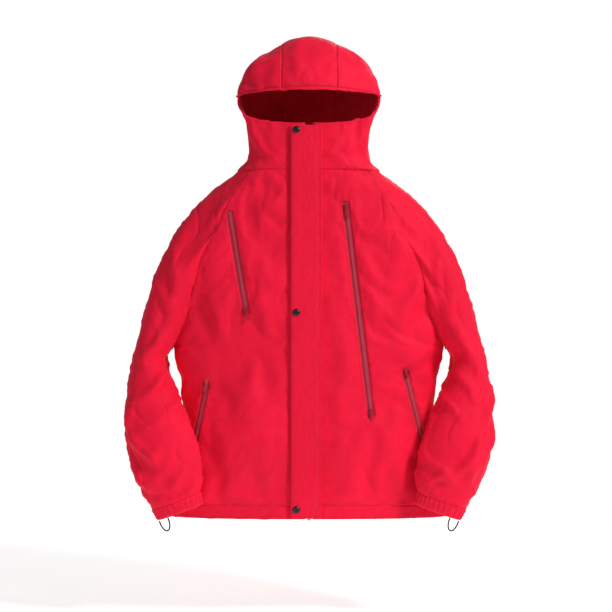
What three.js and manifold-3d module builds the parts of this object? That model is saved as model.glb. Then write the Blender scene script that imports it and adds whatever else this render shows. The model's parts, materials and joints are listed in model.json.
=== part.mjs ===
// Padded ski jacket with a fitted hood, raglan sleeves, a storm flap and five zip fasteners.
// Millimetres, +Z up. The wearer faces -Y, so the wearer's left side is at +X.
// Shapes are worked out with z = 0 at the hem, and the whole jacket is then moved so that
// the origin is in the hang loop at the back of the neck.
import * as THREE from "three";
import { mergeVertices } from "three/addons/utils/BufferGeometryUtils.js";
import Module from "manifold-3d";

const wasm = await Module();
wasm.setup();

// ---------------------------------------------------------------- driving dimensions
const GAP = 0.3; // running gap between neighbouring pieces
const WALL = 6; // outer fabric with its padding
const LINING = 1.2;

const HEM_HEIGHT = 27;
const UNDERARM_Z = 350;
const NECK_Z = 710;
const HEM_HALF = 292; // half widths of the body
const WAIST_HALF = 262;
const CHEST_HALF = 288;
const NECK_HALF = 148;
const FRONT_Y = -85; // the straight centre front
const HEM_BACK_Y = 45;
const CHEST_BACK_Y = 92;
const NECK_BACK_Y = 84;
const ROUNDNESS = { body: 2.4, neck: 3 }; // superellipse powers of a level section

const FRONT_OPENING = 16; // between the two front edges
const LIP_Z = 805; // top edge of the collar at the centre front
const COLLAR_HALF = 126;
const HOOD_HALF = 147;
const HOOD_CORNER = new THREE.Vector2(-60, 862); // (y, z) of the corners of the face opening
const HOOD_ROUNDNESS = 1.8;
const BRIM_SHARE = 0.055; // share of the hood's centre line that the brim band takes

const FLAP = { left: 26, right: -37, bottom: 2, top: 800, thick: 5, standoff: 2.2, root: 4 };
const SNAP = { x: -25.6, z: [20.5, 420, 790], capRadius: 7.5, capHeight: 3, barrel: 4 };
const CUFF = { height: 25, wall: 6 };
const CORD = { diameter: 3, drop: 24, spread: 9 };
const LOOP = { halfLength: 28, width: 8, thick: 1.2, bow: 11, z: 739 };

// Zip fasteners: ends as (x, z) on the front, and where the sliders stop.
const ZIP = { tapeHalf: 7, tapeThick: 0.8, sunk: 2.6, chainHalf: 2.5, chainThick: 1.8 };
const MAIN_ZIP = { bottom: 5, top: 797, tapeInner: 1, tapeOuter: 14, slider: 783 };
const POCKET_ZIPS = [
  { name: "chest_zip_right", top: [-162, 626], bottom: [-127, 418],
    sliders: [{ name: "", at: "bottom", tab: "down" }] },
  { name: "chest_zip_left", top: [74, 644], bottom: [127, 209],
    sliders: [{ name: "upper_", at: "top", tab: "down" }, { name: "lower_", at: "bottom", tab: "down" }] },
  { name: "hand_zip_right", top: [-209, 273], bottom: [-244, 112],
    sliders: [{ name: "", at: "top", tab: "up" }] },
  { name: "hand_zip_left", top: [197, 300], bottom: [238, 142],
    sliders: [{ name: "", at: "top", tab: "up" }] },
];
const SLIDER = { halfWidth: 4.3, halfLength: 6, plate: 1, endRoom: 9 };
const BAIL = { halfWidth: 1, legAt: 4.5, leg: 1.2, top: 1, clear: 2.6 };
const TAB = { half: 3.5, length: 24, thick: 1.4, eyeHalf: 1.3, eyeLength: 6.5 };

// Stations down a sleeve: (x, z) of its outer and inner edge, the y of its middle, and how far
// it bulges to the front and to the back of that middle. SPLIT is where it bends from the body.
const SLEEVE = [
  { outer: [215, 664], inner: [291, 342], y: -3, front: 60, back: 66 },
  { outer: [268, 604], inner: [293, 335], y: -5, front: 64, back: 66 },
  { outer: [306, 536], inner: [294, 326], y: -9, front: 62, back: 62 },
  { outer: [332, 465], inner: [293, 315], y: -15, front: 59, back: 58 },
  { outer: [350, 395], inner: [289, 300], y: -22, front: 55, back: 54 },
  { outer: [366, 318], inner: [271, 262], y: -40, front: 52, back: 46 },
  { outer: [375, 240], inner: [248, 212], y: -60, front: 50, back: 36 },
  { outer: [375, 175], inner: [230, 165], y: -75, front: 48, back: 32 },
  { outer: [362, 115], inner: [220, 122], y: -84, front: 45, back: 30 },
  { outer: [343, 66], inner: [216, 85], y: -88, front: 38, back: 27 },
  { outer: [318, 22], inner: [220, 57], y: -90, front: 29, back: 25 },
];
const SPLIT = 4;
const SLEEVE_SEAM = 0.9; // half the gap between a sleeve's front and back

// Rows and columns of the faceted surfaces. Pieces that share a seam share its steps.
const ROWS_BELOW_ARM = 6;
const ROWS_ABOVE_ARM = 7;
const FRONT_COLUMNS = 9;
const BACK_COLUMNS = 12;
const COLLAR_COLUMNS = 9;
const NECK_STEPS = 2; // of the sleeve's upper edge, along the neckline
const SLEEVE_STEPS = NECK_STEPS + ROWS_ABOVE_ARM;
const HOOD_STEPS = 12; // from the centre to a corner
const CROWN_STEPS = 3; // of those, in the centre panel
const HOOD_ROWS = 11;

// ---------------------------------------------------------------- materials
const fabric = (colour, roughness) => new THREE.MeshStandardMaterial({ color: colour, roughness });
const SHELL = fabric(0xe8173a, 0.6);
const LINING_RED = fabric(0xb01030, 0.7);
const TAPE_RED = fabric(0xd0304a, 0.8);
const TEETH_PINK = fabric(0xe05a70, 0.4);
const ENAMEL_RED = new THREE.MeshStandardMaterial({ color: 0xd8203c, roughness: 0.35, metalness: 0.3 });
const SNAP_BLACK = new THREE.MeshStandardMaterial({ color: 0x141416, roughness: 0.3, metalness: 0.4 });
const STEEL = new THREE.MeshStandardMaterial({ color: 0xb8babd, roughness: 0.3, metalness: 0.9 });
const CORD_BLACK = fabric(0x18181a, 0.8);

// ---------------------------------------------------------------- helpers
const lerp = THREE.MathUtils.lerp;

/** A smooth curve of one value over height through [z, value] pairs, in rising z. */
function profile(pairs) {
  const curve = new THREE.CubicInterpolant(pairs.map((p) => p[0]), pairs.map((p) => p[1]), 1);
  return (z) => curve.evaluate(z)[0];
}

/** A box bent so that its front is the outer surface and its back the inner one, both (u, v). */
function bentPanel(outer, inner, across, along, side = 1) {
  const geometry = new THREE.BoxGeometry(1, 1, 1, across, along, 1);
  const position = geometry.getAttribute("position");
  for (let i = 0; i < position.count; i++) {
    const u = THREE.MathUtils.clamp(side * position.getX(i) + 0.5, 0, 1);
    const v = THREE.MathUtils.clamp(position.getY(i) + 0.5, 0, 1);
    const p = (position.getZ(i) > 0 ? outer : inner)(u, v);
    position.setXYZ(i, side * p.x, p.y, p.z);
  }
  // The inner face's squares are split along the same diagonals as the outer face's.
  const inside = geometry.groups[5];
  for (let i = inside.start; i < inside.start + inside.count; i += 6) {
    const [a, b, d, , c] = geometry.index.array.slice(i, i + 6);
    geometry.index.array.set([a, b, c, a, c, d], i);
  }
  return geometry;
}

/** A surface (u, v) drawn smoothly through a list of curves of u. */
function loft(curves) {
  const columns = new Map();
  return (u, v) => {
    const key = u.toFixed(6);
    if (!columns.has(key)) {
      columns.set(key, new THREE.CatmullRomCurve3(curves.map((c) => c(u)), false, "catmullrom", 0.5));
    }
    return columns.get(key).getPoint(v);
  };
}

function solidOf(geometry) {
  const bare = new THREE.BufferGeometry();
  bare.setAttribute("position", geometry.getAttribute("position"));
  bare.setIndex(geometry.index);
  const merged = mergeVertices(bare, 1e-4);
  return new wasm.Manifold(new wasm.Mesh({
    numProp: 3,
    vertProperties: merged.getAttribute("position").array,
    triVerts: new Uint32Array(merged.index.array),
  }));
}

function geometryOf(solid) {
  const mesh = solid.getMesh();
  const geometry = new THREE.BufferGeometry();
  geometry.setAttribute("position", new THREE.BufferAttribute(mesh.vertProperties, 3));
  geometry.setIndex(new THREE.BufferAttribute(mesh.triVerts, 1));
  geometry.computeVertexNormals();
  return geometry;
}

function joined(...geometries) {
  return geometryOf(geometries.map(solidOf).reduce((sum, piece) => sum.add(piece)));
}

function cut(geometry, cutters) {
  return geometryOf(cutters.map(solidOf).reduce((rest, cutter) => rest.subtract(cutter), solidOf(geometry)));
}

/** A box from its lowest to its highest corner. */
function block(low, high) {
  const size = high.map((h, i) => h - low[i]);
  const geometry = new THREE.BoxGeometry(...size);
  return geometry.translate(...low.map((l, i) => l + size[i] / 2));
}

function node(parent, name, geometry, material) {
  const mesh = new THREE.Mesh(geometry, material);
  mesh.name = name;
  parent.add(mesh);
  return mesh;
}

const jacket = new THREE.Group();
const SIDES = [{ name: "left", side: 1 }, { name: "right", side: -1 }];

// ---------------------------------------------------------------- body
const bodyHalf = profile([
  [0, HEM_HALF], [60, 0.97 * HEM_HALF], [150, 1.03 * WAIST_HALF], [250, WAIST_HALF],
  [UNDERARM_Z, CHEST_HALF - 6], [420, CHEST_HALF + 2], [480, CHEST_HALF + 4], [547, CHEST_HALF - 2],
  [609, lerp(NECK_HALF, CHEST_HALF, 0.74)], [650, lerp(NECK_HALF, CHEST_HALF, 0.51)],
  [691, lerp(NECK_HALF, CHEST_HALF, 0.18)], [NECK_Z, NECK_HALF],
]);
const sideY = profile([[0, -18], [200, -12], [UNDERARM_Z, -3], [500, 0], [NECK_Z, 0]]);
const backY = profile([
  [0, HEM_BACK_Y], [150, lerp(HEM_BACK_Y, CHEST_BACK_Y, 0.33)], [UNDERARM_Z, CHEST_BACK_Y - 10],
  [500, CHEST_BACK_Y], [600, CHEST_BACK_Y], [680, NECK_BACK_Y + 2], [NECK_Z, NECK_BACK_Y],
]);
const raglanShare = profile([
  [UNDERARM_Z, 1], [395, 0.9], [440, 0.84], [480, 0.808], [520, 0.77], [560, 0.735], [625, 0.725],
  [670, 0.745], [NECK_Z, 0.81],
]);

const roundness = profile([
  [0, ROUNDNESS.body], [420, ROUNDNESS.body], [560, ROUNDNESS.neck], [NECK_Z, ROUNDNESS.neck],
]);

const FRONT = -1;
const BACK = 1;

/** A point of the body's level section at height z: angle 0 is the centre line, 90 degrees the side. */
function bodyPoint(half, angle, z, inset) {
  const width = bodyHalf(z) - inset;
  const middle = sideY(z);
  const depth = (half === FRONT ? middle - FRONT_Y : backY(z) - middle) - inset - GAP / 2;
  const power = 2 / roundness(z);
  const bulge = Math.max(Math.cos(angle), 0) ** power;
  return new THREE.Vector3(width * Math.sin(angle) ** power, middle + half * (GAP / 2 + depth * bulge), z);
}

const angleAt = (x, z) => Math.asin(Math.min(x / bodyHalf(z), 1) ** (roundness(z) / 2));
/** The angle of the raglan seam, moved by a distance away from the sleeve. */
const raglanAngle = (z, away) => angleAt(raglanShare(z) * bodyHalf(z) - away, z);
const sideAngle = (z) => (z <= UNDERARM_Z ? Math.PI / 2 : raglanAngle(z, GAP * 0.7));
const frontSurfaceY = (x, z) => bodyPoint(FRONT, angleAt(Math.abs(x), z), z, 0).y;

const BODY_ROWS = ROWS_BELOW_ARM + ROWS_ABOVE_ARM;
/** Height of a share v of the panel, with one row exactly at the underarm. */
function panelZ(v, bottom, top) {
  const arm = ROWS_BELOW_ARM / BODY_ROWS;
  return v <= arm ? lerp(bottom, UNDERARM_Z, v / arm) : lerp(UNDERARM_Z, top, (v - arm) / (1 - arm));
}

/** The angle of a column of a front panel: the first is narrow and covers the zip's tape. */
function frontAngle(column, z) {
  const inner = angleAt(MAIN_ZIP.tapeOuter + 3, z);
  return column < 1
    ? lerp(angleAt(FRONT_OPENING / 2, z), inner, column)
    : lerp(inner, sideAngle(z), (column - 1) / (FRONT_COLUMNS - 1));
}

/** A front panel between two insets, from a column to the side. */
function frontPanel(outerInset, innerInset, firstColumn, zOf, rows, side) {
  const surface = (inset) => (u, v) =>
    bodyPoint(FRONT, frontAngle(lerp(firstColumn, FRONT_COLUMNS, u), zOf(v)), zOf(v), inset);
  return bentPanel(surface(outerInset), surface(innerInset), FRONT_COLUMNS - firstColumn, rows, side);
}

/** The back between two insets, from one side to the other. */
function backPanel(outerInset, innerInset, zOf, rows) {
  const surface = (inset) => (u, v) => {
    const angle = lerp(1, -1, u) * sideAngle(zOf(v));
    const p = bodyPoint(BACK, Math.abs(angle), zOf(v), inset);
    return angle < 0 ? p.setX(-p.x) : p;
  };
  return bentPanel(surface(outerInset), surface(innerInset), BACK_COLUMNS, rows);
}

function addBody() {
  const panelRows = (v) => panelZ(v, HEM_HEIGHT + GAP, NECK_Z);
  const hemRows = (v) => lerp(0, HEM_HEIGHT, v);
  const lining = [WALL + GAP, WALL + GAP + LINING];
  for (const { name, side } of SIDES) {
    const slits = POCKET_ZIPS.filter((zip) => zip.top[0] * side > 0).map(zipSlit);
    node(jacket, "front_" + name, cut(frontPanel(0, WALL, 0, panelRows, BODY_ROWS, side), slits), SHELL);
    node(jacket, "hem_front_" + name, frontPanel(0, WALL, 0, hemRows, 1, side), SHELL);
    node(jacket, "lining_front_" + name, frontPanel(...lining, 1, panelRows, BODY_ROWS, side), LINING_RED);
  }
  node(jacket, "back_panel", backPanel(0, WALL, panelRows, BODY_ROWS), SHELL);
  node(jacket, "hem_back", backPanel(0, WALL, hemRows, 1), SHELL);
  node(jacket, "lining_back", backPanel(...lining, panelRows, BODY_ROWS), LINING_RED);
}

// ---------------------------------------------------------------- sleeves
/** The sleeve's upper edge: along the neckline, then down the raglan seam to the underarm. */
const sleeveStart = (half, inset) => (s) => {
  const neckShare = NECK_STEPS / SLEEVE_STEPS;
  if (s <= neckShare) {
    const angle = lerp(Math.PI / 2, raglanAngle(NECK_Z, -GAP * 0.7), s / neckShare);
    return bodyPoint(half, angle, NECK_Z, inset);
  }
  const z = lerp(NECK_Z, UNDERARM_Z, (s - neckShare) / (1 - neckShare));
  const p = bodyPoint(half, raglanAngle(z, -GAP * 0.7), z, inset);
  return z <= UNDERARM_Z ? p.setX(p.x + GAP) : p;
};

/** Half a ring round the sleeve at a station, from its outer edge (s = 0) to its inner edge. */
const sleeveRing = (station, half, inset, shift = 0) => (s) => {
  const outer = new THREE.Vector2(...station.outer);
  const inner = new THREE.Vector2(...station.inner);
  const middle = outer.clone().add(inner).multiplyScalar(0.5);
  const arm = outer.clone().sub(middle);
  const reach = arm.length() - inset;
  arm.normalize();
  const bulge = (half === FRONT ? station.front : station.back) - inset - SLEEVE_SEAM;
  const round = Math.max(Math.sin(Math.PI * s), 0) ** 0.9;
  const p = middle.addScaledVector(arm, reach * Math.cos(Math.PI * s));
  p.add(new THREE.Vector2(arm.y, -arm.x).multiplyScalar(shift)); // down the sleeve
  return new THREE.Vector3(p.x, station.y + half * (SLEEVE_SEAM + bulge * round), p.y);
};

function addSleeve({ name, side }) {
  for (const [half, word] of [[FRONT, "front"], [BACK, "back"]]) {
    const facing = (surface) => (u, v) => surface(half === FRONT ? u : 1 - u, v);
    const upper = (inset) => facing(loft([
      sleeveStart(half, inset), ...SLEEVE.slice(0, SPLIT + 1).map((k) => sleeveRing(k, half, inset)),
    ]));
    const lower = (inset) => facing(loft(
      SLEEVE.slice(SPLIT).map((k, i) => sleeveRing(k, half, inset, i ? 0 : GAP + 0.1))));
    node(jacket, `sleeve_top_${word}_${name}`,
      bentPanel(upper(0), upper(WALL), SLEEVE_STEPS, 7, side), SHELL);
    node(jacket, `sleeve_${word}_${name}`,
      bentPanel(lower(0), lower(WALL), SLEEVE_STEPS, 8, side), SHELL);
  }
  addCuff(name, side);
}

/** The gathered cuff, a ring that goes on from the sleeve's last station, with its cord loop. */
function addCuff(name, side) {
  const last = SLEEVE[SLEEVE.length - 1];
  const outer = new THREE.Vector2(...last.outer);
  const inner = new THREE.Vector2(...last.inner);
  const width = outer.distanceTo(inner) / 2;
  const depth = (last.front + last.back) / 2;
  const profilePoints = [
    [width - CUFF.wall, 0], [width - 3, 0], [width, -0.3 * CUFF.height], [width, -0.7 * CUFF.height],
    [width - 4, -CUFF.height], [width - CUFF.wall - 4, -CUFF.height], [width - CUFF.wall, 0],
  ].map(([r, h]) => new THREE.Vector2(r, h)).reverse();
  const ring = new THREE.LatheGeometry(profilePoints, 20);
  ring.rotateX(Math.PI / 2).scale(1, depth / width, 1);
  const cuff = new THREE.Group();
  const tilt = Math.atan2(outer.y - inner.y, outer.x - inner.x);
  cuff.rotation.y = -side * tilt;
  const middle = outer.add(inner).multiplyScalar(0.5);
  const down = new THREE.Vector2(Math.sin(tilt), -Math.cos(tilt)).multiplyScalar(2 * GAP);
  const midY = last.y + (last.back - last.front) / 2;
  cuff.position.set(side * (middle.x + down.x), midY, middle.y + down.y);
  jacket.add(cuff);
  node(cuff, "cuff_" + name, ring, SHELL);

  const r = CORD.diameter / 2;
  const from = side * (width - CUFF.wall - 12);
  const end = -CUFF.height - GAP;
  const wallY = -depth * Math.sqrt(1 - (from / (width - CUFF.wall - 0.5)) ** 2);
  const path = new THREE.CatmullRomCurve3([
    [from - side * CORD.spread, end], [from - side * CORD.spread, end - 0.4 * CORD.drop],
    [from - side * 0.6 * CORD.spread, end - 0.85 * CORD.drop], [from, end - CORD.drop],
    [from + side * 0.6 * CORD.spread, end - 0.85 * CORD.drop],
    [from + side * CORD.spread, end - 0.4 * CORD.drop], [from + side * CORD.spread, end],
  ].map(([x, z]) => new THREE.Vector3(x, wallY, z)));
  const section = new THREE.Shape(new THREE.Path().absarc(0, 0, r, 0, 2 * Math.PI).getPoints(6).slice(0, 6));
  const cord = new THREE.ExtrudeGeometry(section, { steps: 14, extrudePath: path });
  node(cuff, "cord_loop_" + name, cord, CORD_BLACK);
}

// ---------------------------------------------------------------- collar and hood
/** A level-ish ring of the collar: half widths, middle and depths, with its own heights. */
const collarRing = (half, inset, ring) => (angle) => {
  const power = 2 / 3;
  const bulge = Math.max(Math.cos(angle), 0) ** power;
  const depth = (half === FRONT ? ring.y - FRONT_Y : ring.back - ring.y) - inset - GAP / 2;
  const z = lerp(ring.sideZ, half === FRONT ? ring.frontZ : ring.backZ, bulge);
  return new THREE.Vector3(
    (ring.width - inset) * Math.sin(angle) ** power, ring.y + half * (GAP / 2 + depth * bulge), z);
};

const HINGE = new THREE.Vector2(98, 800); // (y, z) of the hood's fold at the back
const level = (z) => ({ sideZ: z, frontZ: z, backZ: z });
const COLLAR_RINGS = [
  { width: COLLAR_HALF, y: -8, back: 87, ...level(NECK_Z + 32) },
  { width: COLLAR_HALF + 1, y: -34, back: 93, sideZ: 806, frontZ: NECK_Z + 66, backZ: NECK_Z + 62 },
];

/** Where the hood meets the collar round the back: the last of the hood's bows, t = 1. */
function addCollar() {
  const bottom = (half, inset) => (angle) =>
    bodyPoint(half, angle, NECK_Z, inset).setZ(NECK_Z + GAP);
  const rings = (half, inset, last) => [
    bottom(half, inset), ...COLLAR_RINGS.map((ring) => collarRing(half, inset, ring)), last];
  const lip = (inset) => collarRing(FRONT, inset, {
    width: HOOD_HALF, y: HOOD_CORNER.x, sideZ: HOOD_CORNER.y, frontZ: LIP_Z });
  for (const { name, side } of SIDES) {
    const edge = (curve) => (u) => {
      const column = u * COLLAR_COLUMNS;
      const inner = angleAt(MAIN_ZIP.tapeOuter + 3, NECK_Z);
      const p = curve(column < 1 ? inner * column : lerp(inner, Math.PI / 2, (column - 1) / (COLLAR_COLUMNS - 1)));
      return column === 0 ? p.setX(FRONT_OPENING / 2) : p;
    };
    const surface = (inset) => loft(rings(FRONT, inset, lip(inset)).map(edge));
    node(jacket, "collar_front_" + name, bentPanel(surface(0), surface(WALL), COLLAR_COLUMNS, 6, side), SHELL);
  }
  const across = (curve) => (u) => {
    const angle = lerp(1, -1, u) * Math.PI / 2;
    const p = curve(Math.abs(angle));
    return angle < 0 ? p.setX(-p.x) : p;
  };
  const top = (inset) => (angle) => {
    const p = hoodPoint(hoodShare(angle), 1, inset);
    return p.set(p.x, p.y + GAP / 2, p.z - GAP);
  };
  const surface = (inset) => loft(rings(BACK, inset, top(inset)).map(across));
  node(jacket, "collar_back", bentPanel(surface(0), surface(WALL), 16, 6), SHELL);
}

const hoodShare = (angle) => Math.min(Math.sin(angle), 0.9997);
const HOOD_LINE = new THREE.SplineCurve([
  [-128, 866], [-124, 888], [-104, 934], [-62, 973], [-8, 990], [46, 980], [88, 944], [108, 890],
  [111, 840], [HINGE.x, HINGE.y],
].map(([y, z]) => new THREE.Vector2(y, z)));

/** A point of the hood: share of the way from the centre to a corner, and t from brim to nape. */
function hoodPoint(share, t, inset) {
  const line = HOOD_LINE.getPoint(t).sub(HOOD_CORNER);
  line.setLength(line.length() - inset);
  const rise = (1 - Math.abs(share) ** HOOD_ROUNDNESS) ** (1 / HOOD_ROUNDNESS);
  const p = line.multiplyScalar(rise).add(HOOD_CORNER);
  return new THREE.Vector3((HOOD_HALF - inset) * share, p.x, p.y);
}

/** A panel of the hood between two steps across and two shares of its centre line. */
function hoodPanel(fromStep, toStep, fromT, toT, rows, side = 1) {
  const seam = GAP * 0.7 / HOOD_HALF;
  const surface = (inset) => (u, v) => {
    const step = lerp(fromStep, toStep, u);
    const angle = step / HOOD_STEPS * Math.PI / 2;
    const ends = (u === 0 && Math.abs(fromStep) < HOOD_STEPS ? seam : 0)
      - (u === 1 && Math.abs(toStep) < HOOD_STEPS ? seam : 0);
    return hoodPoint(Math.sign(angle) * hoodShare(Math.abs(angle)) + ends, lerp(fromT, toT, v), inset);
  };
  return bentPanel(surface(0), surface(WALL), toStep - fromStep, rows, side);
}

function addHood() {
  const seam = 0.0006;
  const crown = BRIM_SHARE + seam;
  node(jacket, "hood_brim", hoodPanel(-HOOD_STEPS, HOOD_STEPS, 0, BRIM_SHARE - seam, 2), SHELL);
  node(jacket, "hood_centre", hoodPanel(-CROWN_STEPS, CROWN_STEPS, crown, 1, HOOD_ROWS), SHELL);
  for (const { name, side } of SIDES) {
    node(jacket, "hood_side_" + name, hoodPanel(CROWN_STEPS, HOOD_STEPS, crown, 1, HOOD_ROWS, side), SHELL);
  }
}

// ---------------------------------------------------------------- storm flap and snaps
const FLAP_INNER = FRONT_Y - FLAP.standoff;
const FLAP_OUTER = FLAP_INNER - FLAP.thick;
const SOCKET_FACE = FRONT_Y - 4 * GAP; // inner end of the socket, just clear of the stud's base

/** A turned piece with its axis along Y at a snap, from (radius, y) points. */
function turned(points, z, segments = 14) {
  const geometry = new THREE.LatheGeometry(points.map(([r, y]) => new THREE.Vector2(r, y)), segments);
  return geometry.translate(SNAP.x, 0, z);
}

function addFlap() {
  const seat = FRONT_Y - GAP;
  const outline = new THREE.Shape([
    [FLAP.right, FLAP_OUTER], [FLAP.left, FLAP_OUTER], [FLAP.left, seat],
    [FLAP.left - FLAP.root, seat], [FLAP.left - FLAP.root, FLAP_INNER], [FLAP.right, FLAP_INNER],
  ].map(([x, y]) => new THREE.Vector2(x, y)));
  const body = new THREE.ExtrudeGeometry(outline, { depth: FLAP.top - FLAP.bottom, bevelEnabled: false });
  body.translate(0, 0, FLAP.bottom);
  const hole = SNAP.barrel + GAP;
  const holes = SNAP.z.map((z) => turned(
    [[0, FLAP_OUTER - 1], [hole, FLAP_OUTER - 1], [hole, FLAP_INNER + 1], [0, FLAP_INNER + 1]], z));
  node(jacket, "storm_flap", cut(body, holes), SHELL);
  SNAP.z.forEach((z, i) => addSnap(["hem", "chest", "neck"][i], z));
}

function addSnap(name, z) {
  const seat = FLAP_OUTER - GAP;
  const flange = FLAP_INNER + GAP;
  const recess = 2.8;
  const roof = FLAP_INNER - 0.6;
  const cap = turned([
    [0, seat - SNAP.capHeight], [0.55 * SNAP.capRadius, seat - 0.9 * SNAP.capHeight],
    [0.88 * SNAP.capRadius, seat - 0.55 * SNAP.capHeight], [SNAP.capRadius, seat - 0.2 * SNAP.capHeight],
    [SNAP.capRadius - 0.5, seat], [SNAP.barrel, seat], [SNAP.barrel, flange], [6, flange],
    [6, SOCKET_FACE], [recess, SOCKET_FACE], [recess, roof], [0, roof],
  ], z);
  node(jacket, "snap_cap_" + name, cap, SNAP_BLACK);
  const base = FRONT_Y - GAP;
  const head = roof + GAP;
  const stud = turned([
    [0, head], [2, head], [recess - 0.4, head + 0.4], [recess - 0.6, base - 0.6], [6, base - 0.6],
    [6, base], [0, base],
  ], z);
  node(jacket, "snap_stud_" + name, stud, STEEL);
}

// ---------------------------------------------------------------- zip fasteners
// In a zip's own frame, +Z runs up the chain, -Y points out of the jacket, and y = 0 is the tape's face.
const CHAIN_FACE = -GAP - ZIP.chainThick;
const PLATE_FACE = CHAIN_FACE - GAP - SLIDER.plate;
const PIVOT_Y = PLATE_FACE - BAIL.clear / 2;

/** A pocket zip's frame: its middle, its length, and its turn, from its ends on the body's front. */
function zipFrame(zip) {
  const [top, bottom] = [zip.top, zip.bottom].map(([x, z]) => new THREE.Vector3(x, frontSurfaceY(x, z), z));
  const middle = top.clone().add(bottom).multiplyScalar(0.5);
  const up = top.clone().sub(bottom);
  const length = up.length();
  up.normalize();
  const step = 4;
  const slope = (frontSurfaceY(middle.x + step, middle.z) - frontSurfaceY(middle.x - step, middle.z)) / (2 * step);
  const across = new THREE.Vector3(1, slope, 0);
  across.addScaledVector(up, -across.dot(up)).normalize();
  const inward = new THREE.Vector3().crossVectors(up, across);
  const matrix = new THREE.Matrix4().makeBasis(across, inward, up);
  const surface = new THREE.Vector3(middle.x, frontSurfaceY(middle.x, middle.z), middle.z);
  const bulge = Math.max(middle.clone().sub(surface).dot(inward), 0);
  matrix.setPosition(middle.addScaledVector(inward, ZIP.sunk - bulge / 2));
  return { matrix, length };
}

function zipSlit(zip) {
  const { matrix, length } = zipFrame(zip);
  const half = [ZIP.tapeHalf + GAP, 20, length / 2 + GAP];
  return block(half.map((h) => -h), half).applyMatrix4(matrix);
}

/** The slider's shell over the chain, with the arched bail that carries the pull. */
function sliderGeometry() {
  const shoulder = SLIDER.halfWidth;
  const tail = 0.8 * SLIDER.halfWidth;
  const outline = new THREE.Shape([
    [-tail, -SLIDER.halfLength], [tail, -SLIDER.halfLength], [shoulder, 0.2 * SLIDER.halfLength],
    [shoulder, 0.8 * SLIDER.halfLength], [0.7 * shoulder, SLIDER.halfLength],
    [-0.7 * shoulder, SLIDER.halfLength], [-shoulder, 0.8 * SLIDER.halfLength],
    [-shoulder, 0.2 * SLIDER.halfLength],
  ].map(([x, z]) => new THREE.Vector2(x, z)));
  const thick = -GAP - PLATE_FACE;
  const shell = new THREE.ExtrudeGeometry(outline, { depth: thick, bevelEnabled: false });
  shell.rotateX(Math.PI / 2).translate(0, -GAP, 0);
  const room = ZIP.chainHalf + GAP;
  const channel = block([-room, CHAIN_FACE - GAP, -20], [room, 1, 20]);
  const roof = PLATE_FACE - BAIL.clear;
  const bail = [
    block([-BAIL.halfWidth, roof - BAIL.top, -BAIL.legAt - BAIL.leg / 2],
      [BAIL.halfWidth, roof, BAIL.legAt + BAIL.leg / 2]),
    ...[-1, 1].map((end) => block([-BAIL.halfWidth, roof - 0.1, end * BAIL.legAt - BAIL.leg / 2],
      [BAIL.halfWidth, PLATE_FACE + 0.1, end * BAIL.legAt + BAIL.leg / 2])),
  ];
  return joined(cut(shell, [channel]), ...bail);
}

/** The pull: a tab with a long eye at the end that the bail passes through, hanging along -Z. */
function pullGeometry() {
  const rim = TAB.thick / 2;
  const neck = TAB.eyeLength + 1.6;
  const tip = -TAB.length;
  const outline = new THREE.Shape([
    [-2.6, rim], [2.6, rim], [2.9, -neck], [2.2, -neck - 3], [TAB.half - 0.4, tip + 8],
    [TAB.half, tip + 4], [2.4, tip + 1], [0, tip], [-2.4, tip + 1], [-TAB.half, tip + 4],
    [-TAB.half + 0.4, tip + 8], [-2.2, -neck - 3], [-2.9, -neck],
  ].map(([x, z]) => new THREE.Vector2(x, z)).reverse());
  const eye = [[-1, -rim], [1, -rim], [1, -TAB.eyeLength], [-1, -TAB.eyeLength]];
  outline.holes.push(new THREE.Path(eye.map(([side, z]) => new THREE.Vector2(side * TAB.eyeHalf, z))));
  outline.holes.push(new THREE.Path().absarc(0, tip + 4, 1.3, 0, 2 * Math.PI, true));
  const tab = new THREE.ExtrudeGeometry(outline, { depth: TAB.thick, bevelEnabled: false, curveSegments: 6 });
  return tab.translate(0, 0, -TAB.thick / 2).rotateX(Math.PI / 2);
}

function addSlider(zip, name, z, up) {
  const slider = new THREE.Group();
  slider.position.z = z;
  zip.add(slider);
  node(slider, name + "slider", sliderGeometry(), ENAMEL_RED);
  const pull = node(slider, name + "pull", pullGeometry(), ENAMEL_RED);
  pull.position.y = PIVOT_Y;
  pull.rotation.x = up ? Math.PI : 0;
}

function chainGeometry(bottom, top) {
  const [half, bevel] = [ZIP.chainHalf, 0.6];
  const outline = new THREE.Shape([
    [-half, -GAP], [-half, CHAIN_FACE + bevel], [-half + bevel, CHAIN_FACE],
    [half - bevel, CHAIN_FACE], [half, CHAIN_FACE + bevel], [half, -GAP],
  ].map(([x, y]) => new THREE.Vector2(x, y)));
  const chain = new THREE.ExtrudeGeometry(outline, { depth: top - bottom, bevelEnabled: false });
  return chain.translate(0, 0, bottom);
}

function addPocketZip(spec) {
  const { matrix, length } = zipFrame(spec);
  const zip = new THREE.Group();
  zip.applyMatrix4(matrix);
  jacket.add(zip);
  const end = length / 2;
  node(zip, spec.name + "_tape", block([-ZIP.tapeHalf, 0, -end], [ZIP.tapeHalf, ZIP.tapeThick, end]), TAPE_RED);
  node(zip, spec.name + "_teeth", chainGeometry(-end + 1, end - 1), TEETH_PINK);
  for (const { name, at, tab } of spec.sliders) {
    const z = (at === "top" ? 1 : -1) * (end - SLIDER.endRoom);
    addSlider(zip, `${spec.name}_${name}`, z, tab === "up");
  }
}

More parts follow.
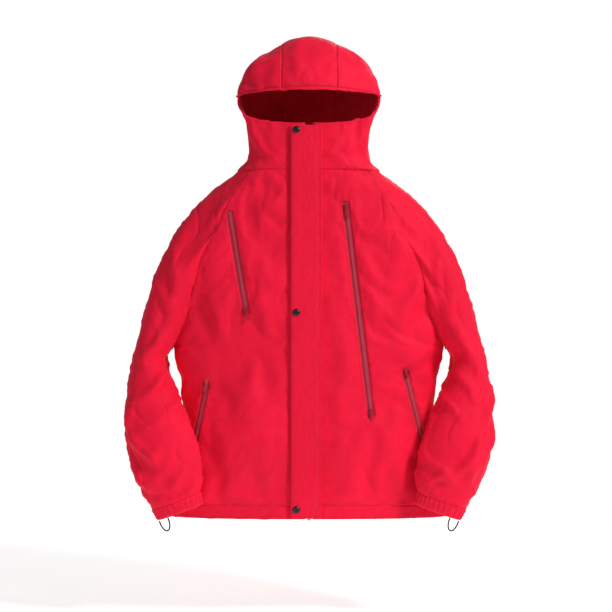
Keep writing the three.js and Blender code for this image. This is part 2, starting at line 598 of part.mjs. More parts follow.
/** The centre front zip, behind the flap, with a tape on each side and the box at its foot. */
function addMainZip() {
  const zip = new THREE.Group();
  zip.position.y = FRONT_Y + WALL + GAP;
  jacket.add(zip);
  for (const { name, side } of SIDES) {
    const x = [side * MAIN_ZIP.tapeInner, side * MAIN_ZIP.tapeOuter].sort((a, b) => a - b);
    const tape = block([x[0], 0, MAIN_ZIP.bottom - 3], [x[1], ZIP.tapeThick, MAIN_ZIP.top + 2]);
    node(zip, "main_zip_tape_" + name, tape, TAPE_RED);
  }
  node(zip, "main_zip_teeth", chainGeometry(MAIN_ZIP.bottom, MAIN_ZIP.top), TEETH_PINK);
  const box = block([-3.6, CHAIN_FACE, MAIN_ZIP.bottom - 8], [3.6, -GAP, MAIN_ZIP.bottom - GAP]);
  node(zip, "main_zip_box", box, STEEL);
  addSlider(zip, "main_zip_", MAIN_ZIP.slider, false);
}

// ---------------------------------------------------------------- hang loop
/** The inner face of the back of the collar at the loop's height, where the loop is sewn. */
const loopWallY = () => lerp(NECK_BACK_Y, COLLAR_RINGS[0].back, (LOOP.z - NECK_Z) / 32) - WALL;

function addHangLoop() {
  const bow = (x) => loopWallY() - 1.6 - LOOP.bow * Math.cos((x / LOOP.halfLength) * Math.PI / 2) ** 2;
  const line = (offset) => (u, v) => {
    const x = lerp(LOOP.halfLength, -LOOP.halfLength, u);
    return new THREE.Vector3(x, bow(x) - offset, LOOP.z + (v - 0.5) * LOOP.width);
  };
  node(jacket, "hang_loop", bentPanel(line(0), line(LOOP.thick), 12, 1), SHELL);
}

addBody();
SIDES.forEach(addSleeve);
addCollar();
addHood();
addFlap();
addMainZip();
POCKET_ZIPS.forEach(addPocketZip);
addHangLoop();

// The origin is where a hook lies in the hang loop.
jacket.position.set(0, -(loopWallY() - LOOP.bow / 2), -LOOP.z);

export default jacket;
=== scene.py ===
"""A padded ski jacket: sewn cloth panels, zips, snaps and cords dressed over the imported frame.

Garment shapes are drawn in millimetres with z = 0 at the hem and the wearer facing -Y, and then
moved into the row frame, which is in metres with its origin in the hang loop."""

import json
import math

import bmesh
import bpy
import numpy as np
from mathutils import Matrix, Vector, noise
from mathutils.bvhtree import BVHTree

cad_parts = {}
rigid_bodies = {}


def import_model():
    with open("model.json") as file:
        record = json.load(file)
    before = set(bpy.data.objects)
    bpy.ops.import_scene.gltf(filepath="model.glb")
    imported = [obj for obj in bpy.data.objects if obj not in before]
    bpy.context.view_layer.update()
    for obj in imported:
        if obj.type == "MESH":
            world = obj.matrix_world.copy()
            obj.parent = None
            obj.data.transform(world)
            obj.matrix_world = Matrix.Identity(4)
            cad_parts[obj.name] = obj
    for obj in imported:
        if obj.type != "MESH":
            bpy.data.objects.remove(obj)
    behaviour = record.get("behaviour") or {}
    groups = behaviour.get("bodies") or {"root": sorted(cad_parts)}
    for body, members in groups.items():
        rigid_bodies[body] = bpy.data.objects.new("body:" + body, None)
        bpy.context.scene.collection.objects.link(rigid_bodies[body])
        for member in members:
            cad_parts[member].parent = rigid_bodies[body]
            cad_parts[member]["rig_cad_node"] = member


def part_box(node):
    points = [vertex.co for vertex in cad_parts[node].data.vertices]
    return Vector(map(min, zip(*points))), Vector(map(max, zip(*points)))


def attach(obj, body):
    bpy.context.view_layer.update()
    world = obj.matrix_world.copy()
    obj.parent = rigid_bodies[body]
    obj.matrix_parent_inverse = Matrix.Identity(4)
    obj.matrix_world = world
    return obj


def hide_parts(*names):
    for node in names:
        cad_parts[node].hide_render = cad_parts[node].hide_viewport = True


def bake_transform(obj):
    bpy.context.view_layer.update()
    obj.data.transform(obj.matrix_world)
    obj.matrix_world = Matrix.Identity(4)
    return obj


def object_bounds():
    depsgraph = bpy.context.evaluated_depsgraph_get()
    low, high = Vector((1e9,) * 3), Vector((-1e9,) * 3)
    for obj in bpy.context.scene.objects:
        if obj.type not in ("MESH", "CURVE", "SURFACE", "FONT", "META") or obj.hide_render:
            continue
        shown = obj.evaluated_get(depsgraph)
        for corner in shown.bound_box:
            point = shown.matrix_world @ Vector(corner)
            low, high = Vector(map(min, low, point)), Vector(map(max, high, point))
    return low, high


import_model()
CAD_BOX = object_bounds()

# ---------------------------------------------------------------- sizes, in millimetres
CLOTH = 8.0  # side of a cloth square before the last smoothing
HEM_HEIGHT = 27
UNDERARM_Z = 350
NECK_Z = 710
HEM_HALF, WAIST_HALF, CHEST_HALF, NECK_HALF = 292, 262, 288, 148
FRONT_Y = -85
HEM_BACK_Y, CHEST_BACK_Y, NECK_BACK_Y = 45, 92, 84
FRONT_EDGE = 8  # half the opening between the two fronts
LIP_Z = 805
COLLAR_HALF = 126
HOOD_HALF = 147
HOOD_CORNER = np.array([-60.0, 862.0])
HOOD_ROUNDNESS = 1.8
BRIM_SHARE = 0.055
FLAP_LEFT, FLAP_RIGHT, FLAP_BOTTOM, FLAP_TOP = 26, -37, 2, 800
FLAP_FACE, FLAP_BACK = -92.2, -87.2
SNAP_X, SNAP_RADIUS, SNAP_HEIGHT = -25.6, 7.5, 3.0
SNAP_Z = (20.5, 420, 790)
SEWN_ROW, BAND_ROW, FREE_ROW = 24.6, 20.0, -33.5  # stitch rows up the flap
CUFF_HEIGHT, CUFF_WALL = 25, 6
CORD_DIAMETER, CORD_DROP, CORD_SPREAD = 3.0, 24, 9
TAPE_HALF = 7
SHELL_THICK, SLEEVE_THICK, LINING_THICK = 5.2, 4.0, 1.0
STITCH, STITCH_PITCH, THREAD = 2.6, 3.4, 0.34
ROLL, ROLL_DEPTH = 0.009, 0.0012  # of the cloth's edge down to a zip's tape, in metres
COIL_PITCH, MAIN_PITCH = 0.0021, 0.0028  # between the teeth of a zip, in metres
LENS, SENSOR = 85, 36
FIELD = 1.246  # width of the view at the camera's aim, in metres
AIM = Vector((-0.006, -0.15, -0.306))
FLOOR_DROP, FLOOR_RADIUS = 0.19, 1.5
SEAM_HOLD, SEAM_SINK = 0.35, 1.3  # how firmly the thread holds the cloth, and how deep it pulls it
ASIDE_CAP, INWARD_CAP = 6, 3.2  # how far the cloth may creep along itself and inwards
ZIP_HOLD = 0.007  # how far past a slit its tape holds the cloth still, in metres
CORNER_HOLD = 34  # about each corner of the face opening
PUCKER, RIPPLE, GRAIN, CREASE = 2.3, 1.15, 0.4, 2.6  # heights of the small wrinkles

MM = 0.001
SHIFT = np.array([0.0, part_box("front_left")[0].y - FRONT_Y * MM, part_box("hem_back")[0].z])
FRONT, BACK = -1, 1
SIDES = (("left", 1), ("right", -1))


def to_row(points):
    """Points in garment millimetres, in the row frame."""
    return np.asarray(points, float) * MM + SHIFT


# ---------------------------------------------------------------- curves
def profile(*pairs):
    """A smooth curve of one value over height through (height, value) pairs."""
    t, v = np.array(pairs, float).T
    last = len(t) - 1

    def at(z):
        z = np.clip(np.asarray(z, float), t[0], t[-1])
        i = np.clip(np.searchsorted(t, z, side="right"), 1, last)
        before, after = np.where(i >= 2, i - 2, i), np.where(i < last, i + 1, i - 1)
        t0, t1 = t[i - 1], t[i]
        p, half = (z - t0) / (t1 - t0), (t1 - t0) / 2
        a, b = half / (t0 - t[before]), half / (t[after] - t1)
        q, c = p * p, p**3
        return (
            (-a * c + 2 * a * q - a * p) * v[before]
            + ((1 + a) * c - (1.5 + 2 * a) * q + (a - 0.5) * p + 1) * v[i - 1]
            + (-(1 + b) * c + (1.5 + b) * q + 0.5 * p) * v[i]
            + (b * c - b * q) * v[after]
        )

    return at


def along(points, share, open_ends=True):
    """The point at a share of a smooth curve through points, each of which may be an array."""
    count = len(points)
    place = share * (count - 1)
    i = min(int(place), count - 2)
    t = place - i
    b, c = points[i], points[i + 1]
    a = points[i - 1] if i else (2 * b - c if open_ends else b)
    d = points[i + 2] if i + 2 < count else (2 * c - b if open_ends else c)
    v0, v1 = (c - a) / 2, (d - b) / 2
    return b + v0 * t + (3 * (c - b) - 2 * v0 - v1) * t**2 + (2 * (b - c) + v0 + v1) * t**3


def mix(a, b, share):
    return a + (b - a) * share


def smooth(x, low, high):
    t = np.clip((x - low) / (high - low), 0, 1)
    return t * t * (3 - 2 * t)


body_half = profile(
    (0, HEM_HALF), (60, 0.97 * HEM_HALF), (150, 1.03 * WAIST_HALF), (250, WAIST_HALF),
    (UNDERARM_Z, CHEST_HALF - 6), (420, CHEST_HALF + 2), (480, CHEST_HALF + 4),
    (547, CHEST_HALF - 2), (609, mix(NECK_HALF, CHEST_HALF, 0.74)),
    (650, mix(NECK_HALF, CHEST_HALF, 0.51)), (691, mix(NECK_HALF, CHEST_HALF, 0.18)),
    (NECK_Z, NECK_HALF),
)
side_y = profile((0, -18), (200, -12), (UNDERARM_Z, -3), (500, 0), (NECK_Z, 0))
back_y = profile(
    (0, HEM_BACK_Y), (150, mix(HEM_BACK_Y, CHEST_BACK_Y, 0.33)), (UNDERARM_Z, CHEST_BACK_Y - 10),
    (500, CHEST_BACK_Y), (600, CHEST_BACK_Y), (680, NECK_BACK_Y + 2), (NECK_Z, NECK_BACK_Y),
)
raglan_share = profile(
    (UNDERARM_Z, 1), (395, 0.9), (440, 0.84), (480, 0.808), (520, 0.77), (560, 0.735),
    (625, 0.725), (670, 0.745), (NECK_Z, 0.81),
)
roundness = profile((0, 2.4), (420, 2.4), (560, 3), (NECK_Z, 3))


def body_point(half, angle, z, inset=0.0):
    """A point of the body at height z: angle 0 is the centre line and a right angle the side."""
    angle, z = np.broadcast_arrays(np.asarray(angle, float), np.asarray(z, float))
    middle = side_y(z)
    depth = (middle - FRONT_Y if half == FRONT else back_y(z) - middle) - inset
    power = 2 / roundness(z)
    bulge = np.maximum(np.cos(angle), 0) ** power
    x = (body_half(z) - inset) * np.sin(np.abs(angle)) ** power * np.sign(angle)
    return np.stack([x, middle + half * depth * bulge, z], -1)


def angle_at(x, z):
    return np.arcsin(np.minimum(x / body_half(z), 1) ** (roundness(z) / 2))


def raglan_angle(z):
    return angle_at(np.minimum(raglan_share(z), 1) * body_half(z), z)


def side_angle(z):
    return np.where(z <= UNDERARM_Z, math.pi / 2, raglan_angle(np.maximum(z, UNDERARM_Z)))


def front_y(x, z):
    return float(body_point(FRONT, angle_at(abs(x), z), z)[1])


# ---------------------------------------------------------------- sewing panels together
HEM_ROWS = np.linspace(0, HEM_HEIGHT, 5)
ARM_ROWS = np.linspace(UNDERARM_Z, NECK_Z, round((NECK_Z - UNDERARM_Z) / CLOTH) + 1)
BODY_ROWS = np.concatenate([
    np.linspace(HEM_HEIGHT, UNDERARM_Z, round((UNDERARM_Z - HEM_HEIGHT) / CLOTH) + 1), ARM_ROWS[1:]])
NECK_STEPS = 13


class Garment:
    """Grids of cloth squares, each a named panel, sewn into one surface where their edges meet."""

    def __init__(self):
        self.points, self.faces, self.uvs, self.panels, self.names = [], [], [], [], []

    def panel(self, name, grid, side=1):
        """Adds a grid of points (row, column) whose columns run to +X as seen from the front."""
        grid = np.array(grid, float)
        grid[..., 0] *= side
        rows, columns = grid.shape[:2]
        width = np.linalg.norm(np.diff(grid, axis=1), axis=2).mean(0)
        height = np.linalg.norm(np.diff(grid, axis=0), axis=2).mean(1)
        u, v = np.r_[0, width.cumsum()] * MM, np.r_[0, height.cumsum()] * MM
        start = sum(len(p) for p in self.points)
        self.points.append(to_row(grid.reshape(-1, 3)))
        if name not in self.names:
            self.names.append(name)
        index = self.names.index(name)
        for i in range(rows - 1):
            for j in range(columns - 1):
                ring = [(i, j), (i, j + 1), (i + 1, j + 1), (i + 1, j)]
                if side < 0:
                    ring.reverse()
                self.faces.append([start + a * columns + b for a, b in ring])
                self.uvs.extend((u[b], v[a]) for a, b in ring)
                self.panels.append(index)

    def sewn(self, name):
        """One object with the panels' edges joined; a face's material number is its panel's."""
        mesh = bpy.data.meshes.new(name)
        mesh.from_pydata(np.concatenate(self.points).tolist(), [], self.faces)
        layer = mesh.uv_layers.new(name="cloth")
        layer.data.foreach_set("uv", np.array(self.uvs, np.float32).ravel())
        for _ in self.names:
            mesh.materials.append(None)
        mesh.polygons.foreach_set("material_index", np.array(self.panels, np.int32))
        sewing = bmesh.new()
        sewing.from_mesh(mesh)
        bmesh.ops.remove_doubles(sewing, verts=sewing.verts, dist=0.15 * MM)
        bmesh.ops.recalc_face_normals(sewing, faces=sewing.faces)
        sewing.to_mesh(mesh)
        sewing.free()
        obj = bpy.data.objects.new(name, mesh)
        bpy.context.scene.collection.objects.link(obj)
        return obj


def front_grid(rows, first_x=FRONT_EDGE, inset=0.0, columns=37):
    first = angle_at(first_x, rows)
    share = np.linspace(0, 1, columns)[None, :]
    angle = first[:, None] + (side_angle(rows) - first)[:, None] * share
    return body_point(FRONT, angle, rows[:, None], inset)


def back_grid(rows, inset=0.0, columns=73):
    angle = side_angle(rows)[:, None] * np.linspace(1, -1, columns)[None, :]
    return body_point(BACK, angle, rows[:, None], inset)


# Stations down a sleeve: outer and inner edge as (x, z), the y of the middle, and the bulge each way.
SLEEVE = [
    ((215, 664), (291, 342), -3, 60, 66), ((268, 604), (293, 335), -5, 64, 66),
    ((306, 536), (294, 326), -9, 62, 62), ((332, 465), (293, 315), -15, 59, 58),
    ((350, 395), (289, 300), -22, 55, 54), ((366, 318), (271, 262), -40, 52, 46),
    ((375, 240), (248, 212), -60, 50, 36), ((375, 175), (230, 165), -75, 48, 32),
    ((362, 115), (220, 122), -84, 45, 30), ((343, 66), (216, 85), -88, 38, 27),
    ((318, 22), (220, 57), -90, 29, 25),
]
ELBOW = 5  # the curve of the loft at the elbow, where the upper half-sleeve meets the lower, counted from the raglan seam
SPAN_ROWS = [10, 10, 10, 9, 9, 10, 10, 8, 8, 7, 7]


def sleeve_start(half):
    angle = np.linspace(math.pi / 2, raglan_angle(NECK_Z), NECK_STEPS + 1)
    neck = body_point(half, angle, NECK_Z)
    z = ARM_ROWS[::-1]
    return np.concatenate([neck[:-1], body_point(half, side_angle(z + 1e-9), z)])


def sleeve_ring(station, half, count):
    outer, inner, y, front, back = station
    outer, inner = np.array(outer, float), np.array(inner, float)
    turn = np.pi * np.linspace(0, 1, count)
    place = (outer + inner) / 2 + (outer - inner) / 2 * np.cos(turn)[:, None]
    bulge = (front if half == FRONT else back) * np.maximum(np.sin(turn), 0) ** 0.9
    return np.stack([place[:, 0], y + half * bulge, place[:, 1]], -1)


def sleeve_grids(half):
    """The upper and the lower half-sleeve on one side, front or back."""
    start = sleeve_start(half)
    curves = [start] + [sleeve_ring(s, half, len(start)) for s in SLEEVE]
    rows, split = [start], 0
    for span, steps in enumerate(SPAN_ROWS):
        for step in range(1, steps + 1):
            rows.append(along(curves, (span + step / steps) / (len(curves) - 1)))
        if span == ELBOW - 1:
            split = len(rows)
    grid = np.array(rows)[::-1]
    if half == FRONT:
        grid = grid[:, ::-1]
    cut = len(rows) - split
    return grid[cut:], grid[: cut + 1]


def collar_ring(half, angle, width, y, back, side_z, front_z, back_z):
    power = 2 / 3
    bulge = np.maximum(np.cos(angle), 0) ** power
    depth = y - FRONT_Y if half == FRONT else back - y
    z = mix(side_z, front_z if half == FRONT else back_z, bulge)
    x = width * np.sin(np.abs(angle)) ** power * np.sign(angle)
    return np.stack([x, y + half * depth * bulge, z], -1)


HOOD_LINE = [np.array(p, float) for p in (
    (-128, 866), (-124, 888), (-104, 934), (-62, 973), (-8, 990), (46, 980), (88, 944), (108, 890),
    (111, 840), (98, 800))]
HOOD_COLUMNS = 48


def hood_row(share, angle):
    """The hood's bow at a share of its centre line, from the brim to the nape."""
    line = along(HOOD_LINE, share, open_ends=False) - HOOD_CORNER
    across = np.sin(angle)
    rise = np.maximum(1 - np.abs(across) ** HOOD_ROUNDNESS, 0) ** (1 / HOOD_ROUNDNESS)
    place = line[None, :] * rise[:, None] + HOOD_CORNER
    return np.stack([HOOD_HALF * across, place[:, 0], place[:, 1]], -1)


def collar_grid(half, angle, last, rows=18):
    curves = [
        body_point(half, angle, NECK_Z),
        collar_ring(half, angle, COLLAR_HALF, -8, 87, NECK_Z + 32, NECK_Z + 32, NECK_Z + 32),
        collar_ring(half, angle, COLLAR_HALF + 1, -34, 93, 806, NECK_Z + 66, NECK_Z + 62),
        last,
    ]
    return np.array([along(curves, t) for t in np.linspace(0, 1, rows + 1)])


def dress():
    """The jacket's body with its sleeves, and the collar with the hood, as two sewn surfaces."""
    body, head = Garment(), Garment()
    for name, side in SIDES:
        body.panel("hem_front_" + name, front_grid(HEM_ROWS), side)
        body.panel("front_" + name, front_grid(BODY_ROWS), side)
        for half, word in ((FRONT, "front"), (BACK, "back")):
            upper, lower = sleeve_grids(half)
            body.panel(f"sleeve_top_{word}_{name}", upper, side)
            body.panel(f"sleeve_{word}_{name}", lower, side)
    body.panel("hem_back", back_grid(HEM_ROWS))
    body.panel("back_panel", back_grid(BODY_ROWS))

    quarter = math.pi / 2
    front_angles = np.linspace(math.asin((FRONT_EDGE / NECK_HALF) ** 1.5), quarter, 27)
    lip = collar_ring(FRONT, front_angles, HOOD_HALF, HOOD_CORNER[0], 0, HOOD_CORNER[1], LIP_Z, 0)
    for name, side in SIDES:
        head.panel("collar_front_" + name, collar_grid(FRONT, front_angles, lip), side)
    angles = np.linspace(quarter, -quarter, HOOD_COLUMNS + 1)
    nape = hood_row(1, angles)
    head.panel("collar_back", collar_grid(BACK, angles, nape))
    rows = np.linspace(1, BRIM_SHARE, 51)
    hood = np.array([hood_row(t, angles) for t in rows])
    crown = HOOD_COLUMNS // 8
    middle = HOOD_COLUMNS // 2
    head.panel("hood_side_left", hood[:, : middle - crown + 1])
    head.panel("hood_centre", hood[:, middle - crown : middle + crown + 1])
    head.panel("hood_side_right", hood[:, middle + crown :])
    head.panel("hood_brim", np.array([hood_row(t, angles) for t in np.linspace(BRIM_SHARE, 0, 4)]))
    return (body.sewn("body"), body.names), (head.sewn("head"), head.names)


# ---------------------------------------------------------------- zips and where they lie
# Ends of each pocket zip as (x, z) on the front.
POCKET_ZIPS = {
    "chest_zip_right": ((-162, 626), (-127, 418)),
    "chest_zip_left": ((74, 644), (127, 209)),
    "hand_zip_right": ((-209, 273), (-244, 112)),
    "hand_zip_left": ((197, 300), (238, 142)),
}


def zip_frame(top, bottom):
    """A zip's own frame, y = 0 on its tape and z up its chain, and half its length, in metres."""
    top, bottom = (Vector((x, front_y(x, z), z)) for x, z in (top, bottom))
    middle, up = (top + bottom) / 2, top - bottom
    half = up.length / 2
    up.normalize()
    slope = (front_y(middle.x + 4, middle.z) - front_y(middle.x - 4, middle.z)) / 8
    across = Vector((1, slope, 0))
    across = (across - up * across.dot(up)).normalized()
    inward = up.cross(across)
    surface = Vector((middle.x, front_y(middle.x, middle.z), middle.z))
    bulge = max((middle - surface).dot(inward), 0)
    middle += inward * (2.6 - bulge / 2)
    matrix = Matrix((across, inward, up)).transposed().to_4x4()
    matrix.translation = Vector(to_row(middle))
    return matrix, half * MM


ZIP_FRAMES = {name: zip_frame(*ends) for name, ends in POCKET_ZIPS.items()}


def near_zip(points, frame_half):
    """Each point's place in a zip's frame, and its distance past the edge of the slit."""
    matrix, half = frame_half
    inverse = np.array(matrix.inverted())
    local = points @ inverse[:3, :3].T + inverse[:3, 3]
    past = np.maximum(np.abs(local[:, 0]) - TAPE_HALF * MM, np.abs(local[:, 2]) - half)
    return local, past


# ---------------------------------------------------------------- folds and the drape of the cloth
# Folds that hang in the cloth, as (x, z) to (x, z), width, height and the half they lie on.
FOLDS = [
    ((-122, 412), (-86, 40), 15, 9, FRONT), ((-150, 380), (-128, 60), 17, 7, FRONT),
    ((-104, 470), (-58, 230), 12, 6, FRONT), ((-175, 300), (-160, 30), 16, 5, FRONT),
    ((140, 205), (150, 36), 13, 8, FRONT), ((170, 230), (188, 40), 15, 5, FRONT),
    ((104, 190), (92, 40), 14, 6, FRONT), ((70, 380), (64, 120), 14, 4, FRONT),
    ((-60, 690), (-96, 560), 14, 5, FRONT), ((112, 560), (140, 380), 13, 4, FRONT),
    ((-210, 470), (-150, 330), 14, 6, FRONT), ((222, 500), (190, 380), 14, 6, FRONT),
    ((-120, 600), (-150, 90), 22, 7, BACK), ((-30, 560), (-40, 60), 20, 6, BACK),
    ((60, 600), (80, 70), 22, 7, BACK), ((150, 520), (180, 60), 20, 6, BACK),
    ((-200, 430), (-120, 300), 18, 6, BACK), ((210, 430), (130, 300), 18, 6, BACK),
    ((-70, 660), (70, 650), 16, 5, BACK),
    ((-138, 850), (-96, 738), 9, 5, FRONT), ((-128, 800), (-58, 722), 8, 4, FRONT),
    ((134, 850), (102, 750), 9, 5, FRONT), ((126, 790), (64, 730), 8, 4, FRONT),
    ((-100, 965), (-126, 890), 13, 4, FRONT), ((98, 968), (124, 892), 13, 4, FRONT),
    ((-16, 988), (-26, 902), 15, 3, FRONT), ((-60, 960), (-90, 780), 16, 6, BACK),
    ((50, 960), (84, 800), 16, 6, BACK), ((-110, 846), (110, 838), 11, 5, BACK),
    ((-90, 770), (90, 764), 10, 5, BACK),
]
FOLD_RELIEF = 1.45
SLEEVE_FOLDS = [
    ((300, 610), (262, 470), 13, 7), ((338, 520), (285, 420), 13, 8), ((300, 400), (352, 300), 13, 9),
    ((278, 330), (345, 232), 12, 10), ((256, 268), (330, 180), 12, 10), ((238, 205), (316, 128), 12, 9),
    ((352, 190), (300, 96), 11, 8), ((232, 150), (286, 74), 10, 7), ((340, 118), (322, 54), 9, 6),
    ((366, 290), (356, 190), 12, 6), ((262, 112), (262, 70), 8, 5), ((295, 560), (318, 470), 12, 6),
]


def fold_height(points, normals):
    """How far each point stands out on the folds, in millimetres."""
    place = (points - SHIFT) / MM
    x, z = place[:, 0], place[:, 2]
    facing = np.where(normals[:, 1] < 0.1, FRONT, BACK)
    face_on = smooth(np.abs(normals[:, 1] - 0.1), 0.05, 0.55)
    height = np.zeros(len(points))
    folds = list(FOLDS)
    for half in (FRONT, BACK):
        for side in (1, -1):
            for k, (a, b, wide, high) in enumerate(SLEEVE_FOLDS):
                lean = 9 * math.sin(5.1 * k + 2 * side + half)
                mirror = ((side * (a[0] + lean), a[1] - lean), (side * (b[0] - lean), b[1] + lean))
                folds.append((*mirror, wide, high * (1 if half == FRONT else 0.8), half))
    for a, b, wide, high, half in folds:
        start, run = np.array(a, float), np.array(b, float) - np.array(a, float)
        length = np.hypot(*run)
        share = ((x - start[0]) * run[0] + (z - start[1]) * run[1]) / length**2
        sway = 5 * np.sin(share * 5 + wide)
        off = ((x - start[0]) * run[1] - (z - start[1]) * run[0]) / length + sway
        taper = np.clip(np.sin(np.pi * np.clip(share, 0, 1)), 0, 1) ** 0.7
        ridge = np.exp(-((off / wide) ** 2)) - 0.45 * np.exp(-(((off - 1.9 * wide) / wide) ** 2))
        height += FOLD_RELIEF * high * ridge * taper * (facing == half)
    return height * face_on


def settle(obj, pins, frames, swell, slack):
    """Lets the sewn cloth fill out and crumple between the places that hold it."""
    group = obj.vertex_groups.new(name="held")
    for level in np.unique(pins.round(2)):
        if level > 0:
            group.add(np.flatnonzero(pins.round(2) == level).tolist(), float(level), "REPLACE")
    cloth = obj.modifiers.new("cloth", "CLOTH")
    cloth.settings.quality = 4
    cloth.settings.mass = 0.12
    cloth.settings.tension_stiffness = cloth.settings.compression_stiffness = 12
    cloth.settings.shear_stiffness = 4
    cloth.settings.bending_stiffness = 0.6
    cloth.settings.air_damping = 4
    cloth.settings.use_pressure = True
    cloth.settings.uniform_pressure_force = swell
    cloth.settings.shrink_min = -slack
    cloth.settings.vertex_group_mass = "held"
    cloth.settings.effector_weights.gravity = 0.15
    cloth.point_cache.frame_end = frames
    scene = bpy.context.scene
    for at in range(1, frames + 1):
        scene.frame_set(at)
    shape = obj.evaluated_get(bpy.context.evaluated_depsgraph_get()).to_mesh()
    moved = np.empty(len(shape.vertices) * 3)
    shape.vertices.foreach_get("co", moved)
    obj.modifiers.clear()
    scene.frame_set(1)
    return moved.reshape(-1, 3)


def coords(mesh):
    out = np.empty(len(mesh.vertices) * 3)
    mesh.vertices.foreach_get("co", out)
    return out.reshape(-1, 3)


def vertex_normals(mesh):
    out = np.empty(len(mesh.vertices) * 3)
    mesh.vertices.foreach_get("normal", out)
    return out.reshape(-1, 3)


def place_coords(mesh, points):
    mesh.vertices.foreach_set("co", np.asarray(points, float).ravel())
    mesh.update()


def cloth_of(panel):
    """The name of the cloth that a panel belongs to: a half-sleeve runs over the elbow unsewn."""
    return panel.replace("_top", "")


def seam_points(mesh, names):
    """Vertices on a sewn seam between two panels, and those on a free edge."""
    part = [cloth_of(name) for name in names]
    panels = {}
    seam, edge = set(), set()
    for face in mesh.polygons:
        for key in face.edge_keys:
            panels.setdefault(key, []).append(face.material_index)
    for key, found in panels.items():
        if len(found) == 1:
            edge.update(key)
        elif part[found[0]] != part[found[1]]:
            seam.update(key)
    return np.array(sorted(seam)), np.array(sorted(edge))


def relax(mesh, points, rounds, keep):
    """Evens out the surface, by moving each point towards the mean of its neighbours."""
    edges = np.array([e.vertices for e in mesh.edges])
    count = np.bincount(edges.ravel(), minlength=len(points))[:, None]
    for _ in range(rounds):
        total = np.zeros_like(points)
        np.add.at(total, edges[:, 0], points[edges[:, 1]])
        np.add.at(total, edges[:, 1], points[edges[:, 0]])
        points = np.where(keep[:, None], points, points + 0.5 * (total / count - points))
    return points


def drape(obj, names, swell, slack, frames, out_cap):
    mesh = obj.data
    rest, normals = coords(mesh), vertex_normals(mesh)
    place = (rest - SHIFT) / MM
    folds = fold_height(rest, normals)
    seam, edge = seam_points(mesh, names)
    held = np.zeros(len(rest))
    held[seam] = SEAM_HOLD
    held[edge] = 1
    level = (np.abs(place[:, 2] - HEM_HEIGHT) < 2) | (place[:, 2] < HEM_HEIGHT)
    held[level & (np.abs(place[:, 0]) < HEM_HALF + 1) & (normals[:, 2] > -0.9)] = 1
    flap = (np.abs(place[:, 0] + 5) < 42) & (normals[:, 1] < -0.5) & (place[:, 2] < FLAP_TOP + 8)
    corner = np.hypot(place[:, 1] - HOOD_CORNER[0], place[:, 2] - HOOD_CORNER[1])
    held[flap | (corner + HOOD_HALF - abs(place[:, 0]) < CORNER_HOLD)] = 1
    free = np.ones(len(rest))
    for frame_half in ZIP_FRAMES.values():
        local, past = near_zip(rest, frame_half)
        by = (past < ZIP_HOLD) & (np.abs(local[:, 1]) < 0.04) & (normals[:, 1] < 0)
        held[by] = 1
        free = np.minimum(free, np.where(normals[:, 1] < 0, smooth(past, 0.004, 0.03), 1))
    border = np.ones(len(rest))
    border[seam] = 0.25
    border[held == 1] = 0
    border = relax(mesh, np.repeat(border[:, None], 3, 1), 3, held == 1)[:, 0] * free
    start = rest + normals * (folds * border * MM)[:, None]
    place_coords(mesh, start)
    moved = settle(obj, held, frames, swell, slack)
    shift = moved - rest
    shift[~np.isfinite(shift)] = 0
    outward = (shift * normals).sum(1)
    aside = shift - normals * outward[:, None]
    size = np.linalg.norm(aside, axis=1)
    aside *= np.minimum(1, ASIDE_CAP * MM / np.maximum(size, 1e-9))[:, None]
    outward = np.clip(outward, -INWARD_CAP * MM, None)
    outward = np.where(outward > 0, out_cap * MM * np.tanh(outward / (out_cap * MM)), outward)
    final = relax(mesh, rest + aside + normals * outward[:, None], 2, held == 1)
    final[seam] -= normals[seam] * SEAM_SINK * MM
    place_coords(mesh, final)


def finer(obj):
    smoother = obj.modifiers.new("finer", "SUBSURF")
    smoother.levels = smoother.render_levels = 1
    smoother.boundary_smooth = "PRESERVE_CORNERS"
    mesh = bpy.data.meshes.new_from_object(obj.evaluated_get(bpy.context.evaluated_depsgraph_get()))
    obj.modifiers.clear()
    obj.data = mesh


def pucker(obj, names):
    """Short wrinkles that run out from the seams, where the thread gathers the cloth."""
    mesh = obj.data
    points, normals = coords(mesh), vertex_normals(mesh)
    seam, edge = seam_points(mesh, names)
    from_seam = np.full(len(points), 1.0)
    lines = points[np.concatenate([seam, edge])]
    tree = BVHTree.FromPolygons([Vector(p) for p in lines], [(i, i, i) for i in range(len(lines))])
    for i, point in enumerate(points):
        found = tree.find_nearest(Vector(point), 0.03)
        if found[3] is not None:
            from_seam[i] = found[3]
    for frame_half in ZIP_FRAMES.values():
        local, past = near_zip(points, frame_half)
        by = (np.abs(local[:, 1]) < 0.03) & (normals[:, 1] < 0)
        from_seam = np.where(by, np.minimum(from_seam, np.abs(past)), from_seam)
    small = np.array([noise.noise(Vector(p) * 105) for p in points])
    wide = np.array([noise.noise(Vector(p) * 38 + Vector((3, 5, 7))) for p in points])
    near = np.exp(-((from_seam / 0.012) ** 2)) * smooth(from_seam, 0, 0.003)
    crease = np.array([abs(noise.noise(Vector((p[0] * 17, p[1] * 17, p[2] * 10)))) for p in points])
    patch = np.array([noise.noise(Vector(p) * 6 + Vector((2, 9, 4))) for p in points])
    valley = np.clip(1 - crease / 0.15, 0, 1) ** 2 * smooth(patch, -0.25, 0.25)
    valley *= smooth(from_seam, 0.002, 0.02)
    relief = PUCKER * near * small + RIPPLE * wide + GRAIN * small - CREASE * valley
    place_coords(mesh, points + normals * (relief * MM)[:, None])


